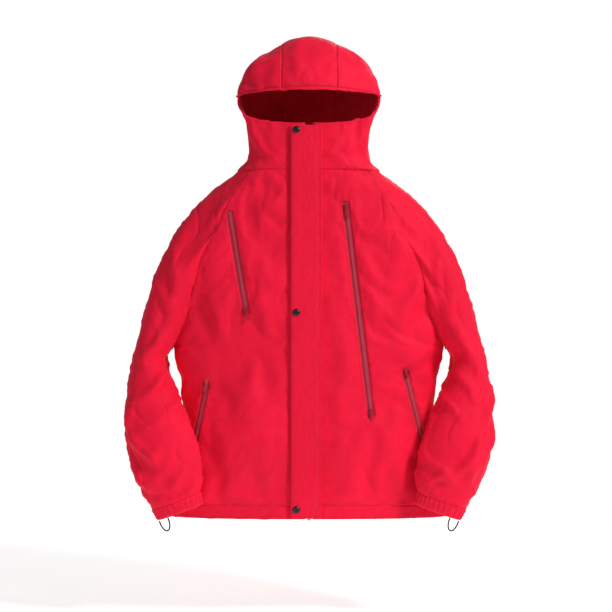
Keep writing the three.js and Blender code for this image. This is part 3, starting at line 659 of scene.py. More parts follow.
# ---------------------------------------------------------------- shaders
class Value:
    """A shader socket; sums, differences and products of it add their Math nodes."""

    def __init__(self, paint, socket):
        self.paint, self.socket = paint, socket

    def maths(self, operation, first, second=0.0):
        return self.paint.node("ShaderNodeMath", {"operation": operation}, {0: first, 1: second})

    def __add__(self, other):
        return self.maths("ADD", self, other)

    __radd__ = __add__

    def __mul__(self, other):
        return self.maths("MULTIPLY", self, other)

    __rmul__ = __mul__

    def __sub__(self, other):
        return self.maths("SUBTRACT", self, other)

    def __rsub__(self, other):
        return self.maths("SUBTRACT", other, self)

    def sine(self):
        return self.maths("SINE", self)

    def between(self, low, high):
        """0 below low, 1 above high, and smooth between."""
        return self.paint.node(
            "ShaderNodeMapRange", {"interpolation_type": "SMOOTHSTEP"},
            {"Value": self, "From Min": low, "From Max": high})


class Paint:
    """One finish: a Principled material and the nodes that vary it."""

    def __init__(self, name, **sockets):
        self.material = bpy.data.materials.new(name)
        self.material.use_nodes = True
        self.tree = self.material.node_tree
        self.shader = self.tree.nodes["Principled BSDF"]
        for socket, value in sockets.items():
            self.shader.inputs[socket.replace("_", " ")].default_value = value

    def node(self, kind, settings=None, sockets=None, output=0):
        made = self.tree.nodes.new(kind)
        for key, value in (settings or {}).items():
            setattr(made, key, value)
        for key, value in (sockets or {}).items():
            self.link(made.inputs[key], value)
        return Value(self, made.outputs[output])

    def link(self, socket, value):
        if isinstance(value, Value):
            self.tree.links.new(value.socket, socket)
        else:
            socket.default_value = value

    def place(self):
        return self.node("ShaderNodeTexCoord", output="Object")

    def axes(self, vector):
        """The x, y and z of a vector."""
        x = self.node("ShaderNodeSeparateXYZ", sockets={0: vector})
        return [Value(self, output) for output in x.socket.node.outputs]

    def cloth_place(self):
        """Distances across and along the cut cloth, in metres."""
        return self.axes(self.node("ShaderNodeUVMap", {"uv_map": "cloth"}))[:2]

    def noise(self, scale, detail=2.0, roughness=0.5, place=None):
        return self.node("ShaderNodeTexNoise", sockets={
            "Vector": place or self.place(), "Scale": scale, "Detail": detail, "Roughness": roughness})

    def blend(self, share, first, second):
        return self.node("ShaderNodeMix", {"data_type": "RGBA"}, {
            "Factor": share, 6: first, 7: second}, output=2)

    def bump(self, height, distance, strength=1.0, under=None):
        sockets = {"Height": height, "Distance": distance, "Strength": strength}
        if under is not None:
            sockets["Normal"] = under
        return self.node("ShaderNodeBump", sockets=sockets)

    def finish(self, **sockets):
        for socket, value in sockets.items():
            self.link(self.shader.inputs[socket.replace("_", " ")], value)
        return self.material


def woven(name, light, dark, roughness, pitch=0.0011, crinkle=0.0009, sheen=0.1):
    """A plain-woven cloth: threads over and under, a slight crinkle, and broad cloudy patches of lighter and
    darker colour; the colour is also painted darker in the hollows of the crinkle and the weave, as painted
    shade.
    """
    paint = Paint(name, Sheen_Weight=sheen, Sheen_Roughness=0.45, Specular_IOR_Level=0.2)
    u, v = paint.cloth_place()
    turn = 2 * math.pi / pitch
    threads = (u * turn).sine() * (v * turn).sine()
    slub = paint.noise(420, 1)
    crumple = paint.noise(95, 4, 0.62)
    cloud = paint.noise(6, 3)
    # the crinkle and thread heights lighten the colour where they stand high and darken it in their hollows:
    # painted shade, laid over the cloudy patches
    share = cloud.between(0.3, 0.72) * 0.55 + crumple.between(0.35, 0.7) * 0.3 + threads * 0.06
    weave = paint.bump(threads + slub * 0.5, 0.00007, 0.5)
    normal = paint.bump(crumple, crinkle, 0.8, weave)
    rough = roughness + (crumple - 0.5) * 0.14 + threads * 0.03
    return paint.finish(Base_Color=paint.blend(share, dark, light), Roughness=rough, Normal=normal)


def ribbed(name, light, dark, pitch, roughness=0.75, sheen=0.15):
    """Narrow woven tape or elastic, ribbed along its length."""
    paint = Paint(name, Sheen_Weight=sheen)
    across, _, height = paint.axes(paint.place())
    ribs = ((height + across * 0.6) * (2 * math.pi / pitch)).sine()
    fuzz = paint.noise(900, 2)
    normal = paint.bump(ribs + fuzz * 0.6, 0.00012, 0.8)
    share = ribs * 0.3 + 0.5 + (fuzz - 0.5) * 0.3
    return paint.finish(
        Base_Color=paint.blend(share, dark, light), Roughness=roughness + (fuzz - 0.5) * 0.12, Normal=normal)


def hard(name, colour, worn, roughness, metallic=0.0, coat=0.0, grain=700, depth=0.00002):
    """A hard finish with fine grain, faint clouding and rubbed spots."""
    paint = Paint(name, Metallic=metallic, Coat_Weight=coat, Coat_Roughness=0.15)
    fine = paint.noise(grain, 3, 0.6)
    cloud = paint.noise(55, 3)
    rub = paint.noise(160, 4, 0.7).between(0.6, 0.75)
    share = rub * 0.35 + (cloud - 0.5) * 0.4 + 0.1
    rough = roughness + (cloud - 0.5) * 0.15 + rub * 0.12
    return paint.finish(
        Base_Color=paint.blend(share, colour, worn), Roughness=rough, Normal=paint.bump(fine, depth, 0.6))


def finishes():
    return {
        "shell": woven("shell_taffeta", (0.93, 0.004, 0.042, 1), (0.76, 0.002, 0.032, 1), 0.72, sheen=0.03),
        # the inner faces: the shell's same red painted a little darker, as painted shade inside the hood and
        # the cloth
        "inside": woven("inner_cloth_painted_shade", (0.84, 0.006, 0.042, 1), (0.66, 0.004, 0.030, 1), 0.72, 0.0014),
        "lining": woven(
            "lining_cloth", (0.36, 0.004, 0.020, 1), (0.25, 0.002, 0.013, 1), 0.5, 0.0009, 0.0003),
        "tape": ribbed("zip_tape_weave", (0.58, 0.008, 0.045, 1), (0.38, 0.003, 0.025, 1), 0.0016),
        "teeth": hard("zip_coil", (0.62, 0.05, 0.11, 1), (0.80, 0.20, 0.26, 1), 0.35),
        # the sliders' and pulls' red is painted darker than the cloth's, as painted shade that makes them
        # stand out the way the shade along their edges does
        "enamel": hard("red_enamel_painted_dark", (0.50, 0.004, 0.026, 1), (0.72, 0.05, 0.09, 1), 0.25, 0.35, 0.8),
        "snap": hard("black_snap", (0.012, 0.012, 0.014, 1), (0.05, 0.05, 0.055, 1), 0.3, 0.6, 0.3),
        "stud": hard("nickel", (0.62, 0.61, 0.60, 1), (0.42, 0.41, 0.40, 1), 0.28, 1.0),
        "cord": ribbed("black_cord", (0.016, 0.016, 0.018, 1), (0.004, 0.004, 0.005, 1), 0.0013, 0.6, 0.03),
        "thread": hard("red_thread", (0.66, 0.004, 0.036, 1), (0.84, 0.02, 0.07, 1), 0.6, grain=2500),
        "floor": hard("pale_floor", (0.90, 0.90, 0.90, 1), (0.87, 0.87, 0.87, 1), 0.9, grain=60),
    }


# ---------------------------------------------------------------- turning cloth into pieces
SLEEVE_AXIS = Vector((0.84, 0, -0.54))


def bend(piece, panel):
    """Rides a body or hem piece on the torso; a sleeve, collar or hood piece keeps its place baked into its
    points.
    """
    side = "left" if panel.endswith("left") else "right"
    sign = 1 if side == "left" else -1
    if panel.startswith("sleeve"):
        middle = Vector(to_row((sign * 319.5, -20, 347.5)))
        axis = Vector((sign * SLEEVE_AXIS.x, 0, SLEEVE_AXIS.z))
        "sleeve_" + side
        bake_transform(piece)
    elif panel.startswith(("collar", "hood")):
        middle = Vector(to_row((0, 19, 831)))
        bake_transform(piece)
    else:
        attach(piece, "torso")
    return piece


def linked(name, mesh, *materials):
    for material in materials:
        mesh.materials.append(material)
    obj = bpy.data.objects.new(name, mesh)
    bpy.context.scene.collection.objects.link(obj)
    return obj


def shade_smooth(mesh):
    mesh.polygons.foreach_set("use_smooth", [True] * len(mesh.polygons))
    mesh.update()


def solid(name, points, faces, material, flat=None):
    """A piece from points in the row frame; flat gives each point its place on the cut cloth."""
    mesh = bpy.data.meshes.new(name)
    mesh.from_pydata([tuple(p) for p in points], [], faces)
    if flat is not None:
        layer = mesh.uv_layers.new(name="cloth")
        layer.data.foreach_set("uv", np.array([flat[l.vertex_index] for l in mesh.loops]).ravel())
    work = bmesh.new()
    work.from_mesh(mesh)
    bmesh.ops.recalc_face_normals(work, faces=work.faces)
    work.to_mesh(mesh)
    work.free()
    shade_smooth(mesh)
    return linked(name, mesh, material)


def stand_in(piece, node, body):
    """Hides a CAD node and rides the piece that stands for it on its body."""
    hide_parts(node)
    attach(piece, body)


def faces_in(cloth, wide, tall, deep=0.04):
    """Faces whose middle lies in a box about the origin, given by its half sizes."""
    middles = [(face, face.calc_center_median()) for face in cloth.faces]
    return [f for f, m in middles if abs(m.x) < wide and abs(m.z) < tall and abs(m.y) < deep]


def cut_slits(mesh, side):
    """Opens the cloth over the pocket zips on one side and rolls its edges down to the tape."""
    for matrix, half in ZIP_FRAMES.values():
        if (matrix.translation.x > 0) != (side > 0):
            continue
        cloth = bmesh.new()
        cloth.from_mesh(mesh)
        cloth.transform(matrix.inverted())
        wide, tall = TAPE_HALF * MM, half
        for axis, limit in ((0, wide), (0, -wide), (2, tall), (2, -tall)):
            near = faces_in(cloth, 0.03, half + 0.02)
            parts = {e for f in near for e in f.edges} | {v for f in near for v in f.verts}
            spot = Vector((0, 0, 0))
            spot[axis] = limit
            direction = Vector((0, 0, 0))
            direction[axis] = 1
            bmesh.ops.bisect_plane(
                cloth, geom=near + list(parts), plane_co=spot, plane_no=direction, dist=0.0003)
        bmesh.ops.delete(cloth, geom=faces_in(cloth, wide, tall), context="FACES")
        for v in cloth.verts:
            past = max(abs(v.co.x) - wide, abs(v.co.z) - tall)
            if past < ROLL and abs(v.co.y) < 0.04:
                down = 1 - min(max(past, 0) / ROLL, 1) ** 0.5
                v.co.y += (-ROLL_DEPTH - v.co.y) * down
        cloth.transform(matrix)
        cloth.to_mesh(mesh)
        cloth.free()


def pieces_of(obj, names, finish):
    """Splits a sewn surface at its seams, gives each cloth its thickness, and places it with bend: the
    body's pieces ride on the torso.
    """
    surface = BVHTree.FromObject(obj, bpy.context.evaluated_depsgraph_get())
    for name in dict.fromkeys(cloth_of(panel) for panel in names):
        panels = [panel for panel in names if cloth_of(panel) == name]
        kept = {names.index(panel) for panel in panels}
        cloth = bmesh.new()
        cloth.from_mesh(obj.data)
        others = [f for f in cloth.faces if f.material_index not in kept]
        bmesh.ops.delete(cloth, geom=others, context="FACES")
        for face in cloth.faces:
            face.material_index = 0
        mesh = bpy.data.meshes.new(name + "_cloth")
        cloth.to_mesh(mesh)
        cloth.free()
        if name.startswith("front_"):
            cut_slits(mesh, 1 if name.endswith("left") else -1)
        # the inner faces take the inside finish: the shell red painted darker as shade
        piece = linked(name + "_cloth", mesh, finish["shell"], finish["inside"])
        thick = SHELL_THICK if name.startswith(("front", "back", "hem")) else SLEEVE_THICK
        wall = piece.modifiers.new("wall", "SOLIDIFY")
        wall.thickness, wall.offset = thick * MM, -1
        wall.material_offset, wall.use_even_offset = 1, False
        piece.data = bpy.data.meshes.new_from_object(
            piece.evaluated_get(bpy.context.evaluated_depsgraph_get()))
        piece.modifiers.clear()
        shade_smooth(piece.data)
        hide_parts(*panels)
        bend(piece, name)
    return surface


def make_linings(finish):
    """The lining hangs just inside the body panels."""
    rows = BODY_ROWS[::2]
    grids = {"lining_back": (back_grid(rows, 7.4, 37), 1)}
    for name, side in SIDES:
        grids["lining_front_" + name] = (front_grid(rows, 17, 7.4, 19), side)
    for name, (grid, side) in grids.items():
        garment = Garment()
        garment.panel(name, grid, side)
        cloth = garment.sewn(name + "_cloth")
        cloth.data.materials.clear()
        cloth.data.materials.append(finish["lining"])
        points, normals = coords(cloth.data), vertex_normals(cloth.data)
        ripple = np.array([noise.noise(Vector((p[0] * 26, p[1] * 26, p[2] * 9))) for p in points])
        place_coords(cloth.data, points - normals * (1.3 * MM * (ripple + 0.6))[:, None])
        wall = cloth.modifiers.new("wall", "SOLIDIFY")
        wall.thickness, wall.offset = LINING_THICK * MM, -1
        finer(cloth)
        shade_smooth(cloth.data)
        stand_in(cloth, name, "torso")


# ---------------------------------------------------------------- stitching
# Rings along one stitch: share of its length, and its radius and rise in threads.
STITCH_RINGS = ((0, 0.35, -0.3), (0.2, 0.95, 0.55), (0.8, 0.95, 0.55), (1, 0.35, -0.3))


def stitch_rows(name, paths, surface, finish):
    """Rows of stitches along paths, each a list of points that lie near the cloth."""
    lift = 0.12 * MM  # of the thread's middle over the cloth
    points, faces = [], []
    for path in paths:
        path = np.asarray(path, float)
        steps = np.linalg.norm(np.diff(path, axis=0), axis=1)
        place = np.r_[0, steps.cumsum()]
        for start in np.arange(0.001, place[-1] - STITCH * MM, STITCH_PITCH * MM):
            ends = []
            for at in (start, start + STITCH * MM / 2, start + STITCH * MM):
                spot = Vector([np.interp(at, place, path[:, k]) for k in range(3)])
                near, normal, _, _ = surface.find_nearest(spot)
                ends.append((near, normal))
            (a, _), (_, up), (b, _) = ends
            run = b - a
            if run.length < 1e-5:
                continue
            across = run.cross(up).normalized()
            first = len(points)
            for share, wide, high in STITCH_RINGS:
                centre = a.lerp(b, share) + up * (THREAD * MM * high + lift)
                for turn in range(5):
                    angle = 2 * math.pi * turn / 5
                    reach = across * math.cos(angle) + up * math.sin(angle)
                    points.append(centre + THREAD * MM * wide * reach)
            for ring in range(3):
                for turn in range(5):
                    after = (turn + 1) % 5
                    low = first + 5 * ring
                    faces.append((low + turn, low + after, low + 5 + after, low + 5 + turn))
            faces.append(tuple(first + k for k in (4, 3, 2, 1, 0)))
            faces.append(tuple(first + 15 + k for k in range(5)))
    mesh = bpy.data.meshes.new(name)
    mesh.from_pydata([tuple(p) for p in points], [], faces)
    shade_smooth(mesh)
    return linked(name, mesh, finish["thread"])


def sew(body_surface, head_surface, finish):
    """The rows of topstitching."""
    for name, side in SIDES:
        z = np.linspace(UNDERARM_Z + 12, NECK_Z - 3, 60)
        raglan = [
            to_row(body_point(half, angle_at(raglan_share(z) * body_half(z) - 3, z), z) * (side, 1, 1))
            for half in (FRONT, BACK)]
        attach(stitch_rows("body_seam_stitching_" + name, raglan, body_surface, finish), "torso")
        slits = []
        for matrix, half in ZIP_FRAMES.values():
            if (matrix.translation.x > 0) == (side > 0):
                w, h = (TAPE_HALF + 3.4) * MM, half + 3.4 * MM
                ring = [(-w, -h), (w, -h), (w, h), (-w, h), (-w, -h)]
                slits.append([matrix @ Vector((x, -0.004, zz)) for x, zz in ring])
        slits = [[a.lerp(b, k / 12) for a, b in zip(ring, ring[1:]) for k in range(12)] for ring in slits]
        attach(stitch_rows("pocket_stitching_" + name, slits, body_surface, finish), "torso")
    x = np.linspace(-1, 1, 90) * math.pi / 2
    hem = [to_row(body_point(half, x, HEM_HEIGHT + 3.5)) for half in (FRONT, BACK)]
    hem.append(to_row(body_point(BACK, x, 4)))
    hem.append(to_row(body_point(FRONT, x, 4)))
    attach(stitch_rows("hem_stitching", hem, body_surface, finish), "torso")
    angles = np.linspace(-1, 1, 80) * math.pi / 2 * 0.93
    brim = [to_row(hood_row(share, angles)) for share in (0.008, BRIM_SHARE - 0.006, BRIM_SHARE + 0.008)]
    shares = np.linspace(BRIM_SHARE + 0.01, 0.99, 60)
    crown = [
        to_row([hood_row(t, np.array([sign * (math.pi / 8 + gap)]))[0] for t in shares])
        for sign in (-1, 1) for gap in (-0.022, 0.022)]
    bend(stitch_rows("hood_stitching", brim + crown, head_surface, finish), "hood")
    neck_angles = np.linspace(-1, 1, 90) * math.pi / 2
    neck = [to_row(body_point(half, neck_angles, NECK_Z) + (0, 0, 3.4)) for half in (FRONT, BACK)]
    lip_angles = np.linspace(0.13, math.pi / 2 * 0.95, 40)
    lip = [
        to_row((collar_ring(FRONT, lip_angles, HOOD_HALF, HOOD_CORNER[0], 0, HOOD_CORNER[1], LIP_Z, 0)
                - (0, 0, 5)) * (side, 1, 1)) for _, side in SIDES]
    bend(stitch_rows("collar_stitching", neck + lip, head_surface, finish), "collar")


# ---------------------------------------------------------------- cuffs, cords and flap
def cuff_frame(side):
    """The cuff's frame, z up the sleeve, with half its width and depth, in millimetres."""
    outer, inner, y, front, back = SLEEVE[-1]
    outer, inner = Vector(outer), Vector(inner)
    tilt = math.atan2(outer.y - inner.y, outer.x - inner.x)
    middle = (outer + inner) / 2 + Vector((math.sin(tilt), -math.cos(tilt))) * 0.6
    matrix = Matrix.Translation((side * middle.x, y + (back - front) / 2, middle.y))
    matrix @= Matrix.Rotation(-side * tilt, 4, "Y")
    return matrix, (outer - inner).length / 2, (front + back) / 2


def make_cuff(name, side, finish):
    """A gathered elastic cuff, pulled into ribs, with its bottom edge turned in."""
    matrix, wide, deep = cuff_frame(side)
    around = 168
    outline = [  # share of the height down, how far in, how deep the gathers are
        (-0.16, 3.0, 0.3), (-0.02, 0.6, 0.9), (0.08, -0.6, 1.3), (0.22, -1.2, 1.5), (0.36, 0.4, 1.0),
        (0.5, -0.6, 1.4), (0.64, 0.5, 1.0), (0.78, -0.4, 1.4), (0.9, 0.7, 1.2), (0.985, 2.8, 0.8),
        (1.0, 4.6, 0.5), (0.97, 6.0, 0.4), (0.6, 6.2, 0.5), (0.1, 6.2, 0.5), (-0.16, 5.4, 0.3),
    ]
    points = []
    for share, inset, ripple in outline:
        for k in range(around):
            turn = 2 * math.pi * k / around
            pleat = math.sin(27 * turn + 1.8 * math.sin(3 * turn) + 1.3 * share * math.sin(5 * turn + side))
            spot = Vector((2.4 * math.cos(turn), 2.4 * math.sin(turn), share + side))
            uneven = 0.6 + 0.5 * noise.noise(spot)
            push = -inset - 2.2 * share + ripple * 1.25 * pleat * uneven
            x, y = (wide + push) * math.cos(turn), (deep + push) * math.sin(turn)
            points.append(matrix @ Vector((x, y, -share * CUFF_HEIGHT)))
    count = len(outline)
    faces = rings(count, around)
    last = (count - 1) * around
    faces += [(last + k, last + (k + 1) % around, (k + 1) % around, k) for k in range(around)]
    flat = [(k * 0.0019, ring * 0.004) for ring in range(count) for k in range(around)]
    piece = solid(f"cuff_{name}_cloth", to_row(points), faces, finish["shell"], flat)
    finer(piece)
    shade_smooth(piece.data)
    stand_in(piece, "cuff_" + name, "sleeve_" + name)
    surface = BVHTree.FromObject(piece, bpy.context.evaluated_depsgraph_get())
    rows = []
    for down in (0.36, 0.64):
        ring = []
        for k in range(61):
            turn = 2 * math.pi * k / 60
            ring.append(to_row(matrix @ Vector((
                (wide - 1.4) * math.cos(turn), (deep - 1.4) * math.sin(turn), -down * CUFF_HEIGHT))))
        rows.append(ring)
    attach(stitch_rows("cuff_stitching_" + name, rows, surface, finish), "sleeve_" + name)


def rings(count, around):
    """Faces between rings of points, ring after ring."""
    return [
        (r * around + k, r * around + (k + 1) % around,
         (r + 1) * around + (k + 1) % around, (r + 1) * around + k)
        for r in range(count - 1) for k in range(around)]


def make_cord(name, side, finish):
    """The elastic cord that shows as a loop under the cuff."""
    matrix, wide, deep = cuff_frame(side)
    start = side * (wide - CUFF_WALL - 12)
    end = -CUFF_HEIGHT - 0.3
    wall_y = -deep * math.sqrt(1 - (start / (wide - CUFF_WALL - 0.5)) ** 2)
    shape = [
        (-1, 0), (-1, 0.4), (-0.6, 0.85), (0, 1), (0.6, 0.85), (1, 0.4), (1, 0)]
    spots = [
        np.array(matrix @ Vector((start + side * CORD_SPREAD * x, wall_y, end - CORD_DROP * z)))
        for x, z in shape]
    path = to_row([along(spots, t) for t in np.linspace(0, 1, 33)])
    curve = bpy.data.curves.new("cord_" + name, "CURVE")
    curve.dimensions, curve.bevel_depth, curve.bevel_resolution = "3D", CORD_DIAMETER * MM / 2, 5
    curve.use_fill_caps = True
    line = curve.splines.new("POLY")
    line.points.add(len(path) - 1)
    for point, spot in zip(line.points, path):
        point.co = (*spot, 1)
    curve.materials.append(finish["cord"])
    cord = bpy.data.objects.new(f"cuff_cord_{name}", curve)
    bpy.context.scene.collection.objects.link(cord)
    stand_in(cord, "cord_loop_" + name, "sleeve_" + name)


def make_flap(finish):
    """The padded storm flap, with rounded edges and a stitched band down its sewn side."""
    face, back = FLAP_FACE, FLAP_BACK
    left, right = FLAP_LEFT, FLAP_RIGHT
    around = []
    for x in np.linspace(left - 0.5, right + 1.6, 34):
        band = smooth(x, 17.5, 19.5) * (1 - smooth(x, 21, 23)) + np.exp(-((x - SEWN_ROW) ** 2))
        free = np.exp(-((x - FREE_ROW) ** 2))
        around.append((x, face - 0.6 + 1.0 * band + 0.8 * free))
    around += [(right + 0.4, face + 0.7), (right, (face + back) / 2), (right + 0.4, back - 0.8)]
    around += [(x, back) for x in np.linspace(right + 1.6, left - 4, 10)]
    around += [(left - 4, FRONT_Y - 0.4), (left, FRONT_Y - 0.4), (left, back - 1), (left, face + 1)]
    middle_rows = np.arange(FLAP_BOTTOM + 3, FLAP_TOP - 2, 4)
    heights = np.r_[FLAP_BOTTOM, FLAP_BOTTOM + 0.6, middle_rows, FLAP_TOP - 0.6, FLAP_TOP]
    points = []
    for z in heights:
        end = min(z - FLAP_BOTTOM, FLAP_TOP - z)
        thin = 1 - math.sqrt(max(0, 1 - min(1, (end + 0.4) / 3) ** 2)) if end < 3 else 1
        for x, y in around:
            front = y < (face + back) / 2
            pull = 0.0
            if front:
                spot = Vector((x * 0.045, z * 0.034, 4))
                pull = 0.75 * noise.noise(spot) + 0.5 * noise.noise(Vector((x * 0.16, z * 0.11, 9)))
                edge = min(abs(x - row) for row in (SEWN_ROW, BAND_ROW, FREE_ROW))
                pull += 0.5 * math.exp(-((edge / 4) ** 2)) * noise.noise(Vector((x * 0.1, z * 0.3, 2)))
                near_snap = min(math.hypot(x - SNAP_X, z - s) for s in SNAP_Z)
                pull = pull * min(1, max(0, (near_snap - 8) / 10)) + 0.7 * math.exp(-((near_snap / 15) ** 2))
                pull = max(pull, -0.9)
            y_at = y + pull if front else y
            middle = (face + back) / 2
            points.append((x, middle + (y_at - middle) * (0.55 + 0.45 * thin) if end < 3 else y_at, z))
    count, rows = len(around), len(heights)
    faces = rings(rows, count)
    faces += [tuple(range(count)), tuple((rows - 1) * count + k for k in reversed(range(count)))]
    points = to_row(points)
    piece = solid("storm_flap_cloth", points, faces, finish["shell"], points[:, ::2])
    stand_in(piece, "storm_flap", "storm_flap")
    surface = BVHTree.FromObject(piece, bpy.context.evaluated_depsgraph_get())
    lines = [
        [to_row((x, face - 1, z)) for z in np.linspace(FLAP_BOTTOM + 4, FLAP_TOP - 4, 60)]
        for x in (SEWN_ROW, BAND_ROW, FREE_ROW)]
    lines += [
        [to_row((x, face - 1, z)) for x in np.linspace(-33, 24, 20)]
        for z in (FLAP_BOTTOM + 3.5, FLAP_TOP - 3.5)]
    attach(stitch_rows("flap_stitching", lines, surface, finish), "storm_flap")


def spun(name, outline, centre, material, around=48):
    """A turned piece with its axis along Y, from (radius, y) points."""
    turns = [2 * math.pi * k / around for k in range(around)]
    points = [
        (centre[0] + r * math.cos(t), y, centre[1] + r * math.sin(t)) for r, y in outline for t in turns]
    last = (len(outline) - 1) * around
    faces = rings(len(outline), around) + [range(around), range(last, last + around)]
    return solid(name, to_row(points), faces, material)


def make_snaps(finish):
    """Domed caps with a rolled rim and a shallow ring in the crown."""
    seat = FLAP_FACE - 0.4
    r, h = SNAP_RADIUS, SNAP_HEIGHT
    outline = [
        (0.05, seat - 0.80 * h), (1.2, seat - 0.80 * h), (2.0, seat - 0.84 * h), (2.8, seat - 0.96 * h),
        (3.6, seat - 0.99 * h), (4.6, seat - 0.92 * h), (5.6, seat - 0.76 * h), (6.5, seat - 0.52 * h),
        (7.2, seat - 0.30 * h), (r, seat - 0.14 * h), (r, seat), (r - 0.5, seat + 0.3), (4.0, seat + 0.3),
        (4.0, FLAP_BACK + 0.3), (6.0, FLAP_BACK + 0.3), (6.0, FRONT_Y - 1.2), (2.8, FRONT_Y - 1.2),
        (2.8, FLAP_BACK - 0.6), (0.05, FLAP_BACK - 0.6)]
    for name in ("hem", "chest", "neck"):
        low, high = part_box("snap_cap_" + name)
        z = ((low.z + high.z) / 2 - SHIFT[2]) / MM
        cap = spun(f"snap_{name}", outline, (SNAP_X, z), finish["snap"])
        stand_in(cap, "snap_cap_" + name, "storm_flap")


# ---------------------------------------------------------------- zips
def coil(name, matrix, half, finish, pitch=COIL_PITCH):
    """The coil of a closed zip: loops of monofilament from each side that mesh in the middle."""
    points, faces = [], []
    count = int((2 * half - 0.002) / pitch)
    outline = [(-0.5, 0.0), (-0.5, 0.62), (-0.26, 1.0), (0.26, 1.0), (0.5, 0.62), (0.5, 0.0)]
    for k in range(2 * count):
        side = 1 if k % 2 else -1
        z = -half + 0.001 + (k / 2 + 0.25) * pitch
        first = len(points)
        for x, taper in ((-0.0007, 0.62), (0.0016, 1.0), (0.0025, 0.5)):
            for along_z, out in outline:
                points.append(matrix @ Vector((
                    side * x, -0.0003 - 0.0018 * out * (0.75 + 0.25 * taper), z + along_z * 0.0012 * taper)))
        for ring in range(2):
            for j in range(6):
                low = first + 6 * ring
                faces.append((low + j, low + (j + 1) % 6, low + 6 + (j + 1) % 6, low + 6 + j))
        faces += [tuple(first + j for j in range(6)), tuple(first + 12 + j for j in reversed(range(6)))]
    return solid(name, points, faces, finish["teeth"])


def make_zips(finish):
    for name, (matrix, half) in ZIP_FRAMES.items():
        stand_in(coil(name + "_coil", matrix, half, finish), name + "_teeth", "torso")
    low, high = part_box("main_zip_teeth")
    matrix = Matrix.Translation(((low.x + high.x) / 2, high.y + 0.0003, (low.z + high.z) / 2))
    piece = coil("main_zip_coil", matrix, (high.z - low.z) / 2, finish, MAIN_PITCH)
    stand_in(piece, "main_zip_teeth", "torso")


def make_hang_loop(finish):
    """A folded strip of shell cloth, sewn down at both ends."""
    low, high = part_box("hang_loop")
    half, middle = (high.x - low.x) / 2, (low.z + high.z) / 2
    points, rows, across = [], 60, 7
    for i in range(rows + 1):
        share = i / rows
        x = mix(-half, half, share)
        bow = high.y - 0.0006 - (high.y - low.y - 0.0012) * math.cos((share - 0.5) * math.pi) ** 2
        for j in range(across + 1):
            v = j / across * 2 - 1
            points.append((x, bow + 0.0002 * math.cos(3 * math.pi * v), middle + v * (high.z - low.z) / 2))
    step = across + 1
    faces = [
        (i * step + j, (i + 1) * step + j, (i + 1) * step + j + 1, i * step + j + 1)
        for i in range(rows) for j in range(across)]
    flat = [(x, z) for x, _, z in points]
    piece = solid("hang_loop_strip", points, faces, finish["shell"], flat)
    wall = piece.modifiers.new("wall", "SOLIDIFY")
    wall.thickness, wall.offset = 0.001, 0
    finer(piece)
    shade_smooth(piece.data)
    stand_in(piece, "hang_loop", "torso")


def finish_hardware(finish):
    """Paints the sliders, pulls, studs and tapes that show as they are, and rounds the edges of all but the
    tapes.
    """
    for node in [o for o in bpy.context.scene.objects if "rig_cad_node" in o and not o.hide_render]:
        name = node["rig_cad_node"]
        kind = ("enamel" if name.endswith(("slider", "pull")) else "tape" if "tape" in name else "stud")
        node.data.materials.clear()
        node.data.materials.append(finish[kind])
        if kind != "tape":
            rounding = node.modifiers.new("rounding", "BEVEL")
            rounding.width, rounding.segments = 0.00028, 3
            rounding.limit_method, rounding.angle_limit = "ANGLE", math.radians(32)
            rounding.harden_normals = True
            node.data.polygons.foreach_set("use_smooth", [True] * len(node.data.polygons))


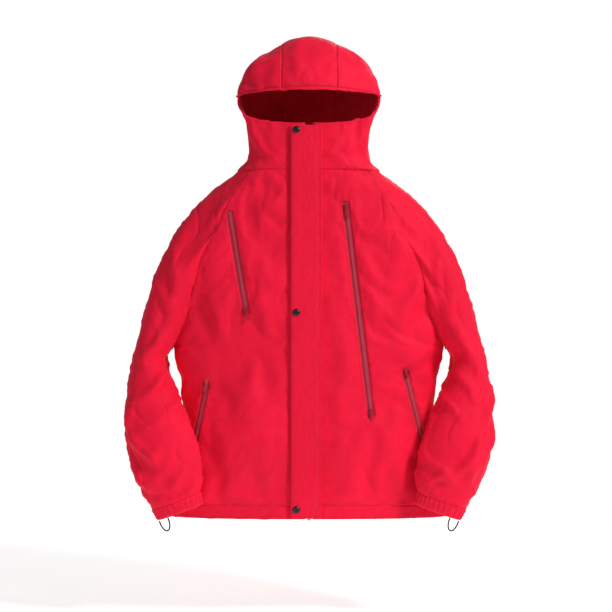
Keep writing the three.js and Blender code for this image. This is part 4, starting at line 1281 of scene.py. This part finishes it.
# ---------------------------------------------------------------- stage
def make_stage(finish):
    scene = bpy.context.scene
    low, _ = CAD_BOX
    glow = finish["floor"].node_tree.nodes["Principled BSDF"].inputs
    glow["Emission Color"].default_value = (1, 1, 1, 1)
    glow["Emission Strength"].default_value = 0.5
    mesh = bpy.data.meshes.new("floor")
    turns = [2 * math.pi * k / 96 for k in range(96)]
    edge = [Vector((math.cos(t), math.sin(t), 0)) * FLOOR_RADIUS for t in turns]
    centre = Vector((0, -0.1, low.z - FLOOR_DROP))
    mesh.from_pydata([centre + spot for spot in edge], [], [range(len(edge))])
    linked("floor", mesh, finish["floor"])

    def area(name, spot, target, size, power, colour=(1, 1, 1)):
        light = bpy.data.lights.new(name, "AREA")
        light.shape, light.size, light.energy, light.color = "DISK", size, power, colour
        lamp = bpy.data.objects.new(name, light)
        scene.collection.objects.link(lamp)
        lamp.location = spot
        lamp.rotation_euler = (Vector(target) - Vector(spot)).to_track_quat("-Z", "Y").to_euler()

    centre = (0, -0.08, -0.3)
    area("key", (2.0, -1.7, 1.5), centre, 0.7, 76)
    area("fill", (-1.9, -2.0, 0.3), centre, 1.6, 7)
    area("back", (0.6, 2.4, 1.2), centre, 1.4, 30)
    world = bpy.data.worlds.new("studio")
    scene.world = world
    world.use_nodes = True
    tree = world.node_tree
    lit = tree.nodes["Background"]
    lit.inputs["Color"].default_value = (1, 1, 1, 1)
    lit.inputs["Strength"].default_value = 0.27
    seen = tree.nodes.new("ShaderNodeBackground")
    seen.inputs["Color"].default_value = (1, 1, 1, 1)
    path = tree.nodes.new("ShaderNodeLightPath")
    both = tree.nodes.new("ShaderNodeMixShader")
    tree.links.new(path.outputs["Is Camera Ray"], both.inputs[0])
    tree.links.new(lit.outputs[0], both.inputs[1])
    tree.links.new(seen.outputs[0], both.inputs[2])
    tree.links.new(both.outputs[0], tree.nodes["World Output"].inputs[0])
    scene.view_settings.view_transform = "Standard"

    camera = bpy.data.cameras.new("camera")
    camera.lens, camera.sensor_width = LENS, SENSOR
    view = bpy.data.objects.new("camera", camera)
    scene.collection.objects.link(view)
    view.location = AIM - Vector((0, FIELD * LENS / SENSOR, 0))
    view.rotation_euler = (math.pi / 2, 0, 0)
    scene.camera = view


# ---------------------------------------------------------------- assembly
finish = finishes()
(body, body_names), (head, head_names) = dress()
steps = 14
drape(body, body_names, 0.6, 0.055, steps, 16)
drape(head, head_names, 0.5, 0.045, steps, 9)
surfaces = []
for sewn, names in ((body, body_names), (head, head_names)):
    finer(sewn)
    pucker(sewn, names)
    surfaces.append(pieces_of(sewn, names, finish))
sew(*surfaces, finish)
for sewn in (body, head):
    bpy.data.objects.remove(sewn)
make_linings(finish)
for side_name, side in SIDES:
    make_cuff(side_name, side, finish)
    make_cord(side_name, side, finish)
make_flap(finish)
make_snaps(finish)
make_zips(finish)
make_hang_loop(finish)
finish_hardware(finish)
make_stage(finish)
